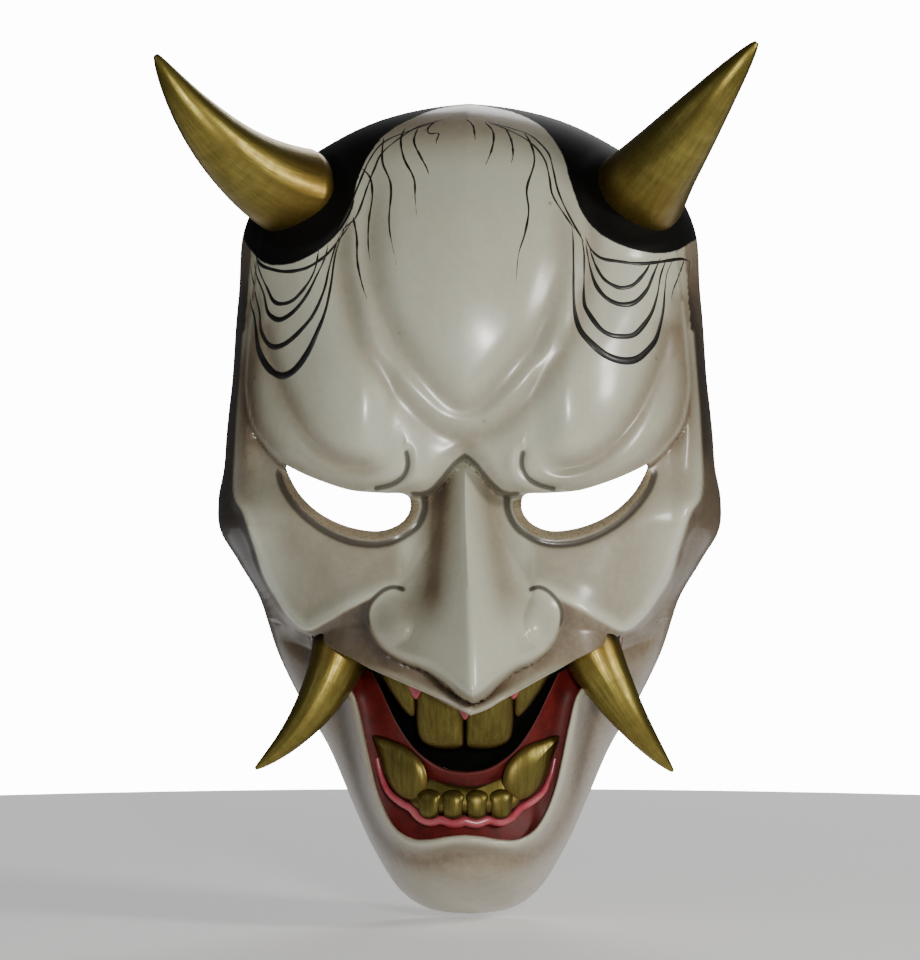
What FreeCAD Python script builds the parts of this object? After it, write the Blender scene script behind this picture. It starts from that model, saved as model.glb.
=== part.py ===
"""Demon noh mask: a carved, gilt and lacquered theatre mask as an assembly of its separate carved pieces.

Frame: +Z up, the face looks along -Y, and the flat back rim lies in the plane y = 0. The origin is the
middle of the open back, level with the cord holes. Left and right are the wearer's, so left is +X.
Lengths are in mm.
"""

import FreeCAD
import Part
import math
import os

from FreeCAD import Vector

# ---- Driving dimensions ------------------------------------------------------------------------
face_width = 168.0          # widest part of the rim, at the cheekbones
face_height = 272.0         # chin to crown along the rim
face_depth = 66.0           # rim plane to the middle of the plain dome
wall = 5.0                  # thickness of the carved wall, front to back
rim_wall = 6.0              # width of the flat back rim
nose_height = 34.0          # how far the nose tip stands out of the dome
brow_overhang = 8.0         # how far the brow stands out over the eyes
cheek_ridge = 6.0           # height of the ridge from the temple round the cheek
lip_ridge = 7.0             # how far the upper lip stands out
jaw_setback = 9.0           # how far the jaw lies behind the upper lip beside the mouth
cord_hole_radius = 2.5
cord_hole_setback = 11.0    # from the rim plane to the cord holes' axis

horn_radius = 14.5          # at the root
horn_length = 70.0          # along its middle, above the face
horn_bend = 50.0            # degrees that a horn turns through from root to tip
horn_taper = 0.62           # below 1 the horn stays thick for longer
horn_tip_radius = 1.2
horn_sink = 13.0            # depth of the horn's socket
horn_boss_wall = 3.5        # wood left round the socket
horn_boss_depth = 11.0      # wood left behind the socket
dowel_radius = 3.0
dowel_length = 16.0         # half in the horn, half in the face

tusk_radius = 10.0
tusk_length = 49.0
tusk_bend = 45.0
tusk_taper = 0.72
tusk_tip_radius = 0.7
tusk_tenon_radius = 4.0
tusk_tenon_length = 6.0

jaw_block = 8.0             # thickness of the gums and of the mouth lining, front to back
gum_height = 12.0           # of the upper gum, above the lip's edge
gum_show = 1.5              # how far the upper gum shows below the lip
lining_lap = 3.5            # how far the lining reaches behind the lips
backing_wall = 1.5
backing_lap = 4.0           # how far the black panel reaches behind the gums and lining
lower_tooth_proud = 4.5     # how far the lower teeth stand out of the lining
lower_gum_proud = 1.6
lower_gum_width = 4.0
upper_tooth_front = 0.6     # set-back of the upper teeth behind the wall
lower_fang_radius = 5.6
lower_fang_tip_radius = 0.5
lower_fang_taper = 0.8
lower_fang_bend = 14.0
fang_root_lift, fang_tip_lift = 1.6, 0.8       # of a lower fang's middle, in front of the lining
joint_gap = 0.05            # all round a dowel or tenon

# ---- Proportions, drawn on a face of these sizes -----------------------------------------------
drawn_width, drawn_height, drawn_depth = 168.0, 272.0, 66.0
scale_x = face_width / drawn_width
scale_z = face_height / drawn_height
scale_d = face_depth / drawn_depth

# Rim outline: angle above the cheek line in degrees, radius.
RIM = [(90, 133), (77, 131), (66, 127.5), (57, 125), (50, 118), (41, 103), (27, 89.5), (10, 83.5), (0, 84.5),
       (-7, 84.5), (-15, 80.5), (-26, 78), (-40, 83), (-50, 88), (-60, 95), (-68, 107), (-75, 122), (-80, 133),
       (-84.5, 138), (-90, 139)]
# Brow edge: from the temple, down and along the top of the eye, to the middle of the nose root.
BROW_EDGE = [(70.5, 65), (72.5, 41), (72, 33), (70, 25), (66, 19), (60, 12.7), (54, 9.4), (47, 6.5), (37, 3.4),
             (21, 2.6), (13.3, 2.0), (8.5, 5.5), (3.6, 11.4), (0, 14.3)]
# Crest of the cheek: from the temple down to the mouth corner, then in to the nostril.
CHEEK_CREST = [(74, 55), (76, 30), (76.5, 4), (72.5, -4), (69, -14), (66, -25), (61.5, -32.5), (57, -38),
               (51.5, -41.5), (45, -38.5), (39, -35), (33, -32), (27, -29), (23, -28)]
# Lower edge of the upper lip, from beyond the mouth corner to the middle.
UPPER_LIP = [(60, -41), (50.2, -43.3), (41, -48.2), (36, -50.5), (30.7, -53.4), (24.2, -56.5), (16.8, -60),
             (9.6, -63.4), (5, -66), (0, -68.3)]
# One eye opening, from its outer corner along the brow and back under the eye.
EYE = [(60, 12.7), (54, 9.6), (47, 6.7), (37, 3.6), (27, 2.7), (19.5, 2.3), (17.6, -1), (18.5, -5), (22, -8.5),
       (28.5, -10.4), (38, -9), (47, -5), (54, 1), (58.5, 8)]
# Border of the mouth below the upper lip, from the corner down to the middle of the lower lip.
LOWER_LIP = [(50.2, -43.3), (48.5, -51), (42, -57.5), (36.5, -63), (33.8, -73), (31.6, -84), (29.5, -93),
             (26.5, -101), (22.5, -107), (17, -109.8), (11, -109.6), (5.5, -108.5), (0, -108)]
# Lower edge of the dark gap between the teeth, from the corner to the middle.
GAP_EDGE = [(35, -51), (31.5, -57), (28.5, -62), (24.5, -70), (19.5, -78), (14, -83.5), (8, -87.2),
            (0, -88.5)]
# Lower border of the lower gum, from its end to the middle: a scallop under every tooth.
GUM_EDGE = [(27.8, -85), (25, -93), (18.5, -96.5), (16.8, -101), (12.2, -103.6), (8, -102.4), (4, -104),
            (0, -102.8)]
# Teeth on the side with x > 0, each from its inner top corner down and round to its outer top corner.
UPPER_TEETH = {"incisor": [(0, -64.3), (0, -79.3), (5.5, -79.7), (11.7, -78.3), (15.6, -76.4), (15.6, -56.5)],
               "side_tooth": [(15.6, -56.5), (15.6, -70.5), (20, -70.9), (25, -66), (28, -60.5), (28, -50.7)]}
LOWER_TEETH = {"inner_incisor": [(0, -92.3), (0, -100.6), (4, -102.2), (8, -100.6), (8, -92.3)],
               "outer_incisor": [(8, -91.8), (8, -100.1), (12, -101.9), (16, -99.6), (16, -91.7)]}

# Round swellings of the face: middle x and z, half width and half height of the swelling, height.
FOREHEAD = (0, 68, 38, 52, 4.0)
BROW_LOBE = (40, 26, 38, 34, 5.0)
CHIN = (0, -122, 34, 34, 9.0)
NOSE_WING = (19.5, -41, 14.5, 14, 12.0)
NOSE_TOP, NOSE_TIP = 13.0, -50.0               # heights on the face
DOME_POWER, JAW_POWER = 3.0, 5.6               # the higher, the flatter the middle and the steeper the edge
RIM_BAND = 0.14                                # share of the face, next to the rim, where the relief fades out

HORN_ROOT = (59.5, 102.0)
# Which way each horn leaves the face and which way its tip turns: outward, forward, upward.
HORNS = {"right_horn": ((0.85, 0.46, 0.25), (0.26, 0.46, 0.85)),
         "left_horn": ((0.35, 0.83, 0.43), (0.62, 0.11, 0.78))}
TUSK_ROOT = (40.0, -46.5)
TUSKS = {"right_tusk": ((0.24, 0.32, -0.92), (0.88, 0.10, -0.46)),
         "left_tusk": ((0.38, 0.32, -0.87), (0.62, -0.30, -0.72))}
FANG_ROOT = (15.5, -92.0)
FANG_TIP = (31.6, -75.2)
MOUTH_MIDDLE = -82.0        # height of the middle of the mouth

GRID = 60                   # spans of each face surface, both ways
REACH = 130.0               # length of the cutters that pass right through the face
SIDES = {"left": 1.0, "right": -1.0}


# ---- Small helpers ------------------------------------------------------------------------------
def smooth(t):
    """0 below 0, 1 above 1 and a soft step between."""
    t = min(1.0, max(0.0, t))
    return t * t * (3.0 - 2.0 * t)


def hill(t):
    """1 at 0, falling softly to 0 at 1 and beyond."""
    return (1.0 - t * t) ** 2 if abs(t) < 1.0 else 0.0


def through(points, steps=6):
    """A smooth run of points through the given ones (Catmull-Rom)."""
    ends = [points[0]] + list(points) + [points[-1]]
    run = []
    for before, here, there, after in zip(ends, ends[1:], ends[2:], ends[3:]):
        for k in range(steps):
            t = k / steps
            run.append(tuple(
                0.5 * (2 * q + (r - p) * t + (2 * p - 5 * q + 4 * r - s) * t ** 2
                       + (3 * q - p - 3 * r + s) * t ** 3)
                for p, q, r, s in zip(before, here, there, after)))
    run.append(tuple(points[-1]))
    return run


def side_of(run, x, z):
    """Distance from (x, z) to a run of points, positive on the left of its direction."""
    nearest, sign = 1e9, 1.0
    for (ax, az), (bx, bz) in zip(run, run[1:]):
        ex, ez = bx - ax, bz - az
        t = ((x - ax) * ex + (z - az) * ez) / (ex * ex + ez * ez)
        t = min(1.0, max(0.0, t))
        dx, dz = x - ax - t * ex, z - az - t * ez
        gap = math.hypot(dx, dz)
        if gap < nearest:
            nearest, sign = gap, 1.0 if ex * dz - ez * dx > 0 else -1.0
    return sign * nearest


RIM_RUN = through(RIM)
BROW_RUN = through(BROW_EDGE)
CREST_RUN = through(CHEEK_CREST)
LIP_RUN = through(UPPER_LIP)


def rim_radius(angle):
    """Radius of the rim outline at an angle in degrees, for the half with x > 0."""
    for (a0, r0), (a1, r1) in zip(RIM_RUN, RIM_RUN[1:]):
        if a1 <= angle <= a0:
            return r0 + (r1 - r0) * (a0 - angle) / (a0 - a1)
    return RIM_RUN[-1][1]


# ---- The face as a surface ----------------------------------------------------------------------
def dome(x, z, share):
    """Depth of the plain dome, where share is the way from its middle (0) to the rim (1)."""
    downward = -z / (math.hypot(x, z) + 1e-9)
    power = DOME_POWER + (JAW_POWER - DOME_POWER) * smooth((downward - 0.55) / 0.4)
    return drawn_depth * math.sqrt(max(0.0, 1.0 - share ** power))


def swelling(shape, x, z):
    """Height of a round swelling at a point of the face."""
    middle_x, middle_z, half_width, half_height, height = shape
    return height * hill(math.hypot((x - middle_x) / half_width, (z - middle_z) / half_height))


def nose(x, z):
    """How far the nose stands out at a point of the face."""
    along = (NOSE_TOP - z) / (NOSE_TOP - NOSE_TIP)
    if along <= 0.0:
        return 0.0
    rise = nose_height * (0.12 + 0.88 * smooth(along * 0.92)) * smooth(along / 0.06)
    underside = -64.0 + 0.45 * x
    rise *= smooth((z - underside) / 11.0)
    half_width = 5.5 + 11.0 * smooth(along) + 14.0 * smooth((along - 0.6) / 0.3)
    ridge = max(0.0, 1.0 - x / half_width) ** 1.2
    return max(rise * ridge, swelling(NOSE_WING, x, z))


def relief(x, z):
    """Everything but the nose that stands out of, or into, the plain dome."""
    rise = sum(swelling(shape, x, z) for shape in (FOREHEAD, BROW_LOBE, CHIN))
    below_brow = side_of(BROW_RUN, x, z)
    if below_brow > 0.0:
        rise -= brow_overhang * smooth(below_brow / 4.0) * math.exp(-below_brow / 24.0)
    inside_cheek = -side_of(CREST_RUN, x, z)
    if inside_cheek > 0.0:
        rise += cheek_ridge * math.exp(-inside_cheek / 12.0)
    else:
        rise += cheek_ridge * (1.0 - smooth(-inside_cheek / 5.0))
    below_lip = side_of(LIP_RUN, x, z)
    rise += lip_ridge * math.exp(-abs(below_lip) / 11.0) * smooth((62.0 - x) / 25.0)
    if below_lip > 0.0:
        beside_mouth = smooth((x - 22.0) / 14.0)
        rise -= jaw_setback * smooth(below_lip / 6.0) * beside_mouth * math.exp(-below_lip / 40.0)
    return rise


def face_point(a, b, inner=False):
    """A point of the outer or the inner face for a place (a, b) in the unit disc."""
    reach = min(1.0, math.hypot(a, b))
    angle = math.degrees(math.atan2(b, abs(a)))
    share = math.sin(reach * math.pi / 2.0)
    radius = rim_radius(angle)
    x = share * radius * math.cos(math.radians(angle))
    z = share * radius * math.sin(math.radians(angle))
    side = -1.0 if a < 0 else 1.0
    depth = face_depth_at(x, z, share, inner)
    trim = 1.0 - rim_wall / (radius * min(scale_x, scale_z)) if inner else 1.0
    return Vector(side * x * scale_x * trim, -depth, z * scale_z * trim)


def face_depth_at(x, z, share, inner):
    """Depth of the outer or the inner face. The inner one is smoother, and lies a wall's thickness behind."""
    fade = smooth((1.0 - share) / RIM_BAND)
    if not inner:
        return scale_d * (dome(x, z, share) + fade * (relief(x, z) + nose(x, z)))
    depth = scale_d * (dome(x, z, share) + fade * (0.85 * relief(x, z) + 0.75 * nose(x, z + 2.0)))
    return max(0.0, depth - wall * smooth((1.0 - share) / 0.05))


def outer_depth(x, z):
    """Depth of the outer face at a place on the half with x > 0, in the drawn proportions."""
    share = math.hypot(x, z) / rim_radius(math.degrees(math.atan2(z, x)))
    return face_depth_at(x, z, share, inner=False)


def inner_depth(x, z):
    """Depth of the inner face at a place on the half with x > 0, in the drawn proportions."""
    radius = rim_radius(math.degrees(math.atan2(z, x)))
    trim = 1.0 - rim_wall / (radius * min(scale_x, scale_z))
    return face_depth_at(x / trim, z / trim, math.hypot(x, z) / (trim * radius), inner=True)


def disc_place(i, j):
    """The place in the unit disc of node (i, j) of a square grid."""
    u, v = 2.0 * i / GRID - 1.0, 2.0 * j / GRID - 1.0
    return u * math.sqrt(1.0 - v * v / 2.0), v * math.sqrt(1.0 - u * u / 2.0)


def face_solid(inner):
    """The solid between the outer or the inner face and the rim plane, with the face as one cubic surface."""
    poles = [[face_point(*disc_place(i, j), inner=inner) for j in range(GRID + 1)] for i in range(GRID + 1)]
    for k in range(GRID + 1):
        for edge_pole in (poles[0][k], poles[GRID][k], poles[k][0], poles[k][GRID]):
            edge_pole.y = 0.0
    knots = list(range(GRID - 1))
    mults = [4] + [1] * (GRID - 3) + [4]
    surface = Part.BSplineSurface()
    surface.buildFromPolesMultsKnots(poles, mults, mults, knots, knots, False, False, 3, 3)
    face = surface.toShape()
    cap = Part.Face(Part.Wire(Part.__sortEdges__(face.Edges)))
    return upright(Part.Solid(Part.Shell([face, cap])))


def upright(solid):
    """The solid with its faces pointing outwards."""
    if solid.Volume < 0:
        solid.reverse()
    return solid


def largest(shape):
    """The largest of a shape's solids, without the slivers that a cut leaves."""
    return max(shape.Solids, key=lambda solid: solid.Volume)


# ---- Cutters and curved pieces --------------------------------------------------------------------
def placed(x, z, y=0.0):
    """A point of the drawing, at its real size."""
    return Vector(x * scale_x, y, z * scale_z)


def mirrored(points):
    """The points of one half followed by those of the other half, back to the middle."""
    return [(-x, z) for x, z in reversed(points) if x > 0]


def prism(points, corners=(0,)):
    """A cutter through the whole face. The outline is smooth between the points numbered in corners."""
    marks = list(corners) + [corners[0] + len(points)]
    edges = []
    for start, end in zip(marks, marks[1:]):
        run = [placed(*points[k % len(points)], y=1.0) for k in range(start, end + 1)]
        if len(run) == 2:
            edges.append(Part.makeLine(*run))
        else:
            curve = Part.BSplineCurve()
            curve.interpolate(run)
            edges.append(curve.toShape())
    return Part.Face(Part.Wire(edges)).extrude(Vector(0, -REACH, 0))


def both_sides(half):
    """A closed outline from the half with x >= 0, which runs from the middle to the middle."""
    return half + mirrored(half)


def direction(parts, side):
    """A unit vector from outward, forward and upward parts."""
    vector = Vector(side * parts[0], -parts[1], parts[2])
    return vector.normalize()


def curved_cone(root, axis, toward, length, bend, radius, tip_radius, taper):
    """A horn: round sections along an arc that starts along axis and turns towards another direction."""
    turn = toward - axis * toward.dot(axis)
    turn.normalize()
    arc = length / math.radians(bend)
    wires = []
    for share in (0.0, 0.08, 0.2, 0.34, 0.48, 0.62, 0.75, 0.86, 0.94, 1.0):
        angle = math.radians(bend) * share
        centre = root + axis * (arc * math.sin(angle)) + turn * (arc * (1.0 - math.cos(angle)))
        along = axis * math.cos(angle) + turn * math.sin(angle)
        size = tip_radius + (radius - tip_radius) * (1.0 - share) ** taper
        wires.append(Part.Wire(Part.makeCircle(size, centre, along)))
    return upright(Part.makeLoft(wires, True, False))


def layer(shape, cavity, front, back):
    """The part of shape between two depths behind the inner face, front and back."""
    piece = shape.common(cavity.translated(Vector(0, front, 0)))
    return piece.cut(cavity.translated(Vector(0, back, 0)))


# ---- The pieces -----------------------------------------------------------------------------------
def horn_frame(name):
    """Root on the face, axis and turning direction of one horn."""
    side = SIDES[name.split("_")[0]]
    axis, toward = (direction(parts, side) for parts in HORNS[name])
    x, z = HORN_ROOT
    return placed(side * x, z, -outer_depth(x, z)), axis, toward


def make_horn(name):
    """A horn with a straight root that fills its socket, bored for the dowel."""
    root, axis, toward = horn_frame(name)
    cone = curved_cone(root, axis, toward, horn_length, horn_bend, horn_radius, horn_tip_radius, horn_taper)
    stem = Part.makeCylinder(horn_radius, horn_sink, root - axis * horn_sink, axis)
    bore = Part.makeCylinder(dowel_radius + joint_gap, dowel_length / 2.0, root - axis * horn_sink, axis)
    return cone.fuse(stem).cut(bore)


def make_dowel(name):
    """The dowel between a horn and the face."""
    root, axis, _ = horn_frame(name)
    start = root - axis * (horn_sink + dowel_length / 2.0)
    return Part.makeCylinder(dowel_radius, dowel_length, start, axis)


def horn_boss(name):
    """Wood left inside the face round a horn's socket, and behind it."""
    root, axis, _ = horn_frame(name)
    wide = horn_radius + horn_boss_wall
    stem = Part.makeCylinder(wide, horn_sink * 2.0, root - axis * horn_sink, axis)
    taper = Part.makeCone(wide, dowel_radius * 2.2, horn_boss_depth, root - axis * horn_sink, -axis)
    return stem.fuse(taper)


def horn_socket(name):
    """Everything that is cut from the face for a horn and its dowel."""
    root, axis, _ = horn_frame(name)
    floor = root - axis * horn_sink
    socket = Part.makeCylinder(horn_radius + joint_gap, horn_sink * 4.0, floor, axis)
    bore_start = floor - axis * (dowel_length / 2.0)
    return socket.fuse(Part.makeCylinder(dowel_radius + joint_gap, dowel_length, bore_start, axis))


def make_face(outer, cavity):
    """The carved face: a hollow dome with eyes, mouth, cord holes and horn sockets."""
    for name in HORNS:
        cavity = cavity.cut(horn_boss(name))
    face = outer.cut(cavity)
    for name in HORNS:
        face = face.cut(horn_socket(name))
    for name in TUSKS:
        face = face.cut(tusk_room(name))
    for side in SIDES.values():
        face = face.cut(prism([(side * x, z) for x, z in EYE]))
    face = face.cut(prism(mouth_outline(), corners=mouth_corners()))
    cord_holes = Part.makeCylinder(cord_hole_radius, REACH * 2.0, Vector(-REACH, -cord_hole_setback, 0),
                                   Vector(1, 0, 0))
    return face.cut(cord_holes)


def mouth_outline():
    """The mouth: along the upper lip from the middle to a corner, down and round the lower lip and back."""
    upper = list(reversed(UPPER_LIP[1:]))
    return both_sides(upper + LOWER_LIP[1:])


def mouth_corners():
    """Which points of the mouth outline are corners."""
    corner = len(UPPER_LIP) - 2
    return (corner, len(mouth_outline()) - corner)


def widened(points, amount):
    """An outline moved away from the middle of the mouth by about that amount."""
    moved = []
    for x, z in points:
        grown = 1.0 + amount / math.hypot(x, z - MOUTH_MIDDLE)
        moved.append((x * grown, MOUTH_MIDDLE + (z - MOUTH_MIDDLE) * grown))
    return moved


def band(low, high):
    """A cutter between two lines that both run from the middle outwards, on both sides of the middle."""
    outline = both_sides(low + list(reversed(high)))
    corner = len(low) - 1
    return prism(outline, corners=(corner, corner + 1, len(outline) - corner - 1, len(outline) - corner))


def make_lining(cavity):
    """The red lining of the lower mouth, from the dark gap out to behind the lips."""
    border = widened(list(reversed(LOWER_LIP[2:])), lining_lap)
    half = border + GAP_EDGE[1:]
    outline = both_sides(half)
    corner = len(border)
    shape = prism(outline, corners=(0, corner - 1, corner, len(half) - 1, len(outline) - corner,
                                    len(outline) - corner + 1))
    return layer(shape, cavity, 0.0, jaw_block)


def make_upper_gum(cavity):
    """A bar that follows the upper lip from one mouth corner to the other."""
    lip = list(reversed(UPPER_LIP[1:]))
    shape = band([(x, z - gum_show) for x, z in lip], [(x, z + gum_height) for x, z in lip])
    return layer(shape, cavity, 0.0, jaw_block)


def tooth_cutter(points, side):
    """A cutter for one tooth, narrowed by the joint gap on its inner and outer side."""
    inner, outer = points[0][0], points[-1][0]
    share = 1.0 - 2.0 * joint_gap / (outer - inner)
    middle = (inner + outer) / 2.0
    outline = [(side * (middle + (x - middle) * share), z) for x, z in points]
    return prism(outline, corners=(0, 1, len(outline) - 2, len(outline) - 1))


def tusk_frame(name):
    """Root, axis and turning direction of one tusk."""
    side = SIDES[name.split("_")[0]]
    axis, toward = (direction(parts, side) for parts in TUSKS[name])
    x, z = TUSK_ROOT
    depth = outer_depth(x, z) - wall - tusk_radius * 0.9
    return placed(side * x, z, -depth), axis, toward


def make_tusk(name):
    """A tusk with a tenon that goes up into the gum."""
    root, axis, toward = tusk_frame(name)
    cone = curved_cone(root, axis, toward, tusk_length, tusk_bend, tusk_radius, tusk_tip_radius, tusk_taper)
    return cone.fuse(Part.makeCylinder(tusk_tenon_radius, tusk_tenon_length, root, -axis))


def tusk_room(name):
    """What is cut from the pieces round a tusk, so that it clears them by the joint gap."""
    root, axis, toward = tusk_frame(name)
    cone = curved_cone(root, axis, toward, tusk_length, tusk_bend, tusk_radius + joint_gap,
                       tusk_tip_radius + joint_gap, tusk_taper)
    mortise = Part.makeCylinder(tusk_tenon_radius + joint_gap, tusk_tenon_length + joint_gap, root, -axis)
    return cone.fuse(mortise)


def lower_fang(side, cavity, lining):
    """A lower fang that lies on the lining, root down and tip up and outwards."""
    ends = []
    for (x, z), lift in ((FANG_ROOT, fang_root_lift), (FANG_TIP, fang_tip_lift)):
        ends.append(placed(side * x, z, -inner_depth(x, z) - lift))
    axis = (ends[1] - ends[0]).normalize()
    length = (ends[1] - ends[0]).Length
    toward = direction((0.0, 0.3, 1.0), side)
    cone = curved_cone(ends[0], axis, toward, length, lower_fang_bend, lower_fang_radius,
                       lower_fang_tip_radius, lower_fang_taper)
    return cone.cut(lining)


def make_lower_gum(cavity, teeth):
    """The pink strip below the lower teeth."""
    low = list(reversed(GUM_EDGE))
    gum = layer(band(low, [(x * 0.86, z + lower_gum_width) for x, z in low]), cavity, -lower_gum_proud, 0.0)
    for tooth in teeth:
        gum = gum.cut(tooth)
    return largest(gum)


def make_backing(cavity):
    """The thin black panel behind the gap between the teeth."""
    low = [(x, z - backing_lap) for x, z in reversed(GAP_EDGE)]
    high = [(x, z + backing_lap) for x, z in reversed(UPPER_LIP[3:])]
    return layer(band(low, high), cavity, jaw_block, jaw_block + backing_wall)


def upper_jaw(cavity):
    """The upper gum, its teeth and the tusks."""
    gum = make_upper_gum(cavity)
    pieces = {}
    for name in TUSKS:
        pieces[name] = make_tusk(name)
        gum = gum.cut(tusk_room(name))
    for side_name, side in SIDES.items():
        for kind, points in UPPER_TEETH.items():
            cutter = tooth_cutter(points, side)
            tooth = layer(cutter, cavity, upper_tooth_front, jaw_block - upper_tooth_front)
            pieces["upper_" + side_name + "_" + kind] = tooth
            gum = gum.cut(tooth)
    pieces["upper_gum"] = gum
    return pieces


def lower_jaw(cavity, upper_teeth):
    """The mouth lining, the lower teeth and fangs, and the strip of gum below them."""
    lining = make_lining(cavity)
    teeth = {}
    for side_name, side in SIDES.items():
        fang = lower_fang(side, cavity, lining)
        teeth["lower_" + side_name + "_fang"] = fang
        for kind, points in LOWER_TEETH.items():
            tooth = layer(tooth_cutter(points, side), cavity, -lower_tooth_proud, 0.0)
            teeth["lower_" + side_name + "_" + kind] = tooth.cut(fang)
    gum = make_lower_gum(cavity, teeth.values())
    for neighbour in upper_teeth + [tusk_room(name) for name in TUSKS]:
        lining = lining.cut(neighbour)
    return {"mouth_lining": largest(lining), "lower_gum": gum, **teeth}


def build():
    """All pieces by node name."""
    outer, cavity = face_solid(inner=False), face_solid(inner=True)
    parts = {"face_shell": make_face(outer, cavity)}
    for name in HORNS:
        parts[name] = make_horn(name)
        parts[name + "_dowel"] = make_dowel(name)
    upper = upper_jaw(cavity)
    upper_teeth = [shape for name, shape in upper.items() if name.startswith("upper_")]
    parts.update(upper)
    parts.update(lower_jaw(cavity, upper_teeth))
    backing = make_backing(cavity)
    for name in TUSKS:
        backing = backing.cut(tusk_room(name))
    parts["mouth_backing"] = largest(backing)
    return parts


def main():
    os.makedirs("parts", exist_ok=True)
    for name, shape in build().items():
        shape.exportStep("parts/" + name + ".step")
        print(name, "solids", len(shape.Solids), "valid", shape.isValid(), "volume", round(shape.Volume, 1))


main()
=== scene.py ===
"""Demon noh mask: the finished looks of a carved, painted and gilt theatre mask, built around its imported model.

Outlines and carving sizes are in millimetres on the drawn face, 168 wide and 272 high, and are scaled to the
frame's own face. +Z is up, the face looks along -Y, and left is the wearer's left, +X.
"""

import math

import bmesh
import bpy
import numpy as np
from bpy.props import FloatProperty, FloatVectorProperty, IntProperty, PointerProperty
from bpy.types import Operator, Panel, PropertyGroup
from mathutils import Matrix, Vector


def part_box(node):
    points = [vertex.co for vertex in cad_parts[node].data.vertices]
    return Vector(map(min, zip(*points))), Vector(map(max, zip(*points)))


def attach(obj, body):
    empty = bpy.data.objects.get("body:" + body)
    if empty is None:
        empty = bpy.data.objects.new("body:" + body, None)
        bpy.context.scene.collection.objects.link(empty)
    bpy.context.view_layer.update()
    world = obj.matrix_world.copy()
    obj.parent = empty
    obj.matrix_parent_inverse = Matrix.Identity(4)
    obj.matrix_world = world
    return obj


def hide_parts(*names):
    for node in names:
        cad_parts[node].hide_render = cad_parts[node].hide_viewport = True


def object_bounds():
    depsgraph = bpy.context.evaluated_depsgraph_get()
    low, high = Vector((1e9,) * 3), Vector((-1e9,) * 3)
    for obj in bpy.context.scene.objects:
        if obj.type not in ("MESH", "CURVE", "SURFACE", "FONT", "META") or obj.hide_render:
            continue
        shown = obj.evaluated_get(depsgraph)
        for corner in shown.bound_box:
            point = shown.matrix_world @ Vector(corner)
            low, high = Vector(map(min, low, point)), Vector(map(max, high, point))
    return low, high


bl_info = {
    "name": "Demon noh mask",
    "version": (1, 0, 0),
    "blender": (4, 5, 0),
    "location": "3D View > Sidebar > Noh mask",
    "description": "Builds the carved face, horns, tusks, teeth and brushed hair of a demon noh mask",
    "category": "Add Mesh",
}

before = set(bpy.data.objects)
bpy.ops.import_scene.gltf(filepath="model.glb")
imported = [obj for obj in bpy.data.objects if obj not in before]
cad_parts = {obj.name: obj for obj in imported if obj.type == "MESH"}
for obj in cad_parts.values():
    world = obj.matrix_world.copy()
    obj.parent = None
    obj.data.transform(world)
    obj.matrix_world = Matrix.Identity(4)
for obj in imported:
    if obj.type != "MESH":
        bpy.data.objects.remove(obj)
CAD_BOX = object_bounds()
ROOT = "root"

MM = 0.001
DRAWN_FACE = (169.3, 271.8)             # width and height of the drawn face's rim
FACE_LOW, FACE_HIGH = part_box("face_shell")
SCALE_X = (FACE_HIGH[0] - FACE_LOW[0]) / (DRAWN_FACE[0] * MM)
SCALE_Z = (FACE_HIGH[2] - FACE_LOW[2]) / (DRAWN_FACE[1] * MM)
SIDES = {"left": 1.0, "right": -1.0}

# ---- Drawn outlines, for the half with x > 0 ------------------------------------------------------
RIM = [(90, 133), (77, 131), (66, 127.5), (57, 125), (50, 118), (41, 103), (27, 89.5), (10, 83.5), (0, 84.5),
       (-7, 84.5), (-15, 80.5), (-26, 78), (-40, 83), (-50, 88), (-60, 95), (-68, 107), (-75, 122),
       (-80, 133), (-84.5, 138), (-90, 139)]     # angle in degrees, radius
BROW_EDGE = [(70.5, 65), (72.5, 41), (72, 33), (70, 25), (66, 19), (60, 12.7), (54, 9.4), (47, 6.5),
             (37, 3.4), (21, 2.6), (13.3, 2.0), (8.5, 5.5), (3.6, 11.4), (0, 14.3)]
CHEEK_CREST = [(74, 55), (76, 30), (76.5, 4), (72.5, -4), (69, -14), (66, -25), (61.5, -32.5), (57, -38),
               (51.5, -41.5), (45, -38.5), (39, -35), (33, -32), (27, -29), (23, -28)]
UPPER_LIP = [(60, -41), (50.2, -43.3), (41, -48.2), (36, -50.5), (30.7, -53.4), (24.2, -56.5), (16.8, -60),
             (9.6, -63.4), (5, -66), (0, -68.3)]
EYE = [(60, 12.7), (54, 9.6), (47, 6.7), (37, 3.6), (27, 2.7), (19.5, 2.3), (17.6, -1), (18.5, -5),
       (22, -8.5), (28.5, -10.4), (38, -9), (47, -5), (54, 1), (58.5, 8)]
LOWER_LIP = [(50.2, -43.3), (48.5, -51), (42, -57.5), (36.5, -63), (33.8, -73), (31.6, -84), (29.5, -93),
             (26.5, -101), (22.5, -107), (17, -109.8), (11, -109.6), (5.5, -108.5), (0, -108)]
GAP_EDGE = [(34, -50), (30.6, -55), (27.4, -61.5), (22.8, -71), (17.6, -79), (12.2, -84), (6.5, -87),
            (0, -88)]
GUM_EDGE = [(28.9, -84), (27.6, -89.5), (25, -94.8), (21, -98), (17.6, -99.8), (15, -102.6), (11.4, -104),
            (7.6, -103.2), (3.8, -104.3), (0, -103.4)]
FOREHEAD_EGG = [(35, 118), (36.4, 100), (36.4, 80), (34, 67), (30, 54), (24, 44), (17, 35.2), (9.5, 27.8), (4, 24.9), (0, 24.2)]
BROW_FOLD = [(66, 56), (64, 46), (58, 32), (53, 24), (47, 17.5), (41, 13), (35, 11), (29, 10.6), (24, 12.5)]
FROWN = [(18.7, 15.2), (18.3, 12.6), (18.6, 10.0), (20.2, 7.2), (23.8, 4.9), (28.5, 3.7)]
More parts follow.
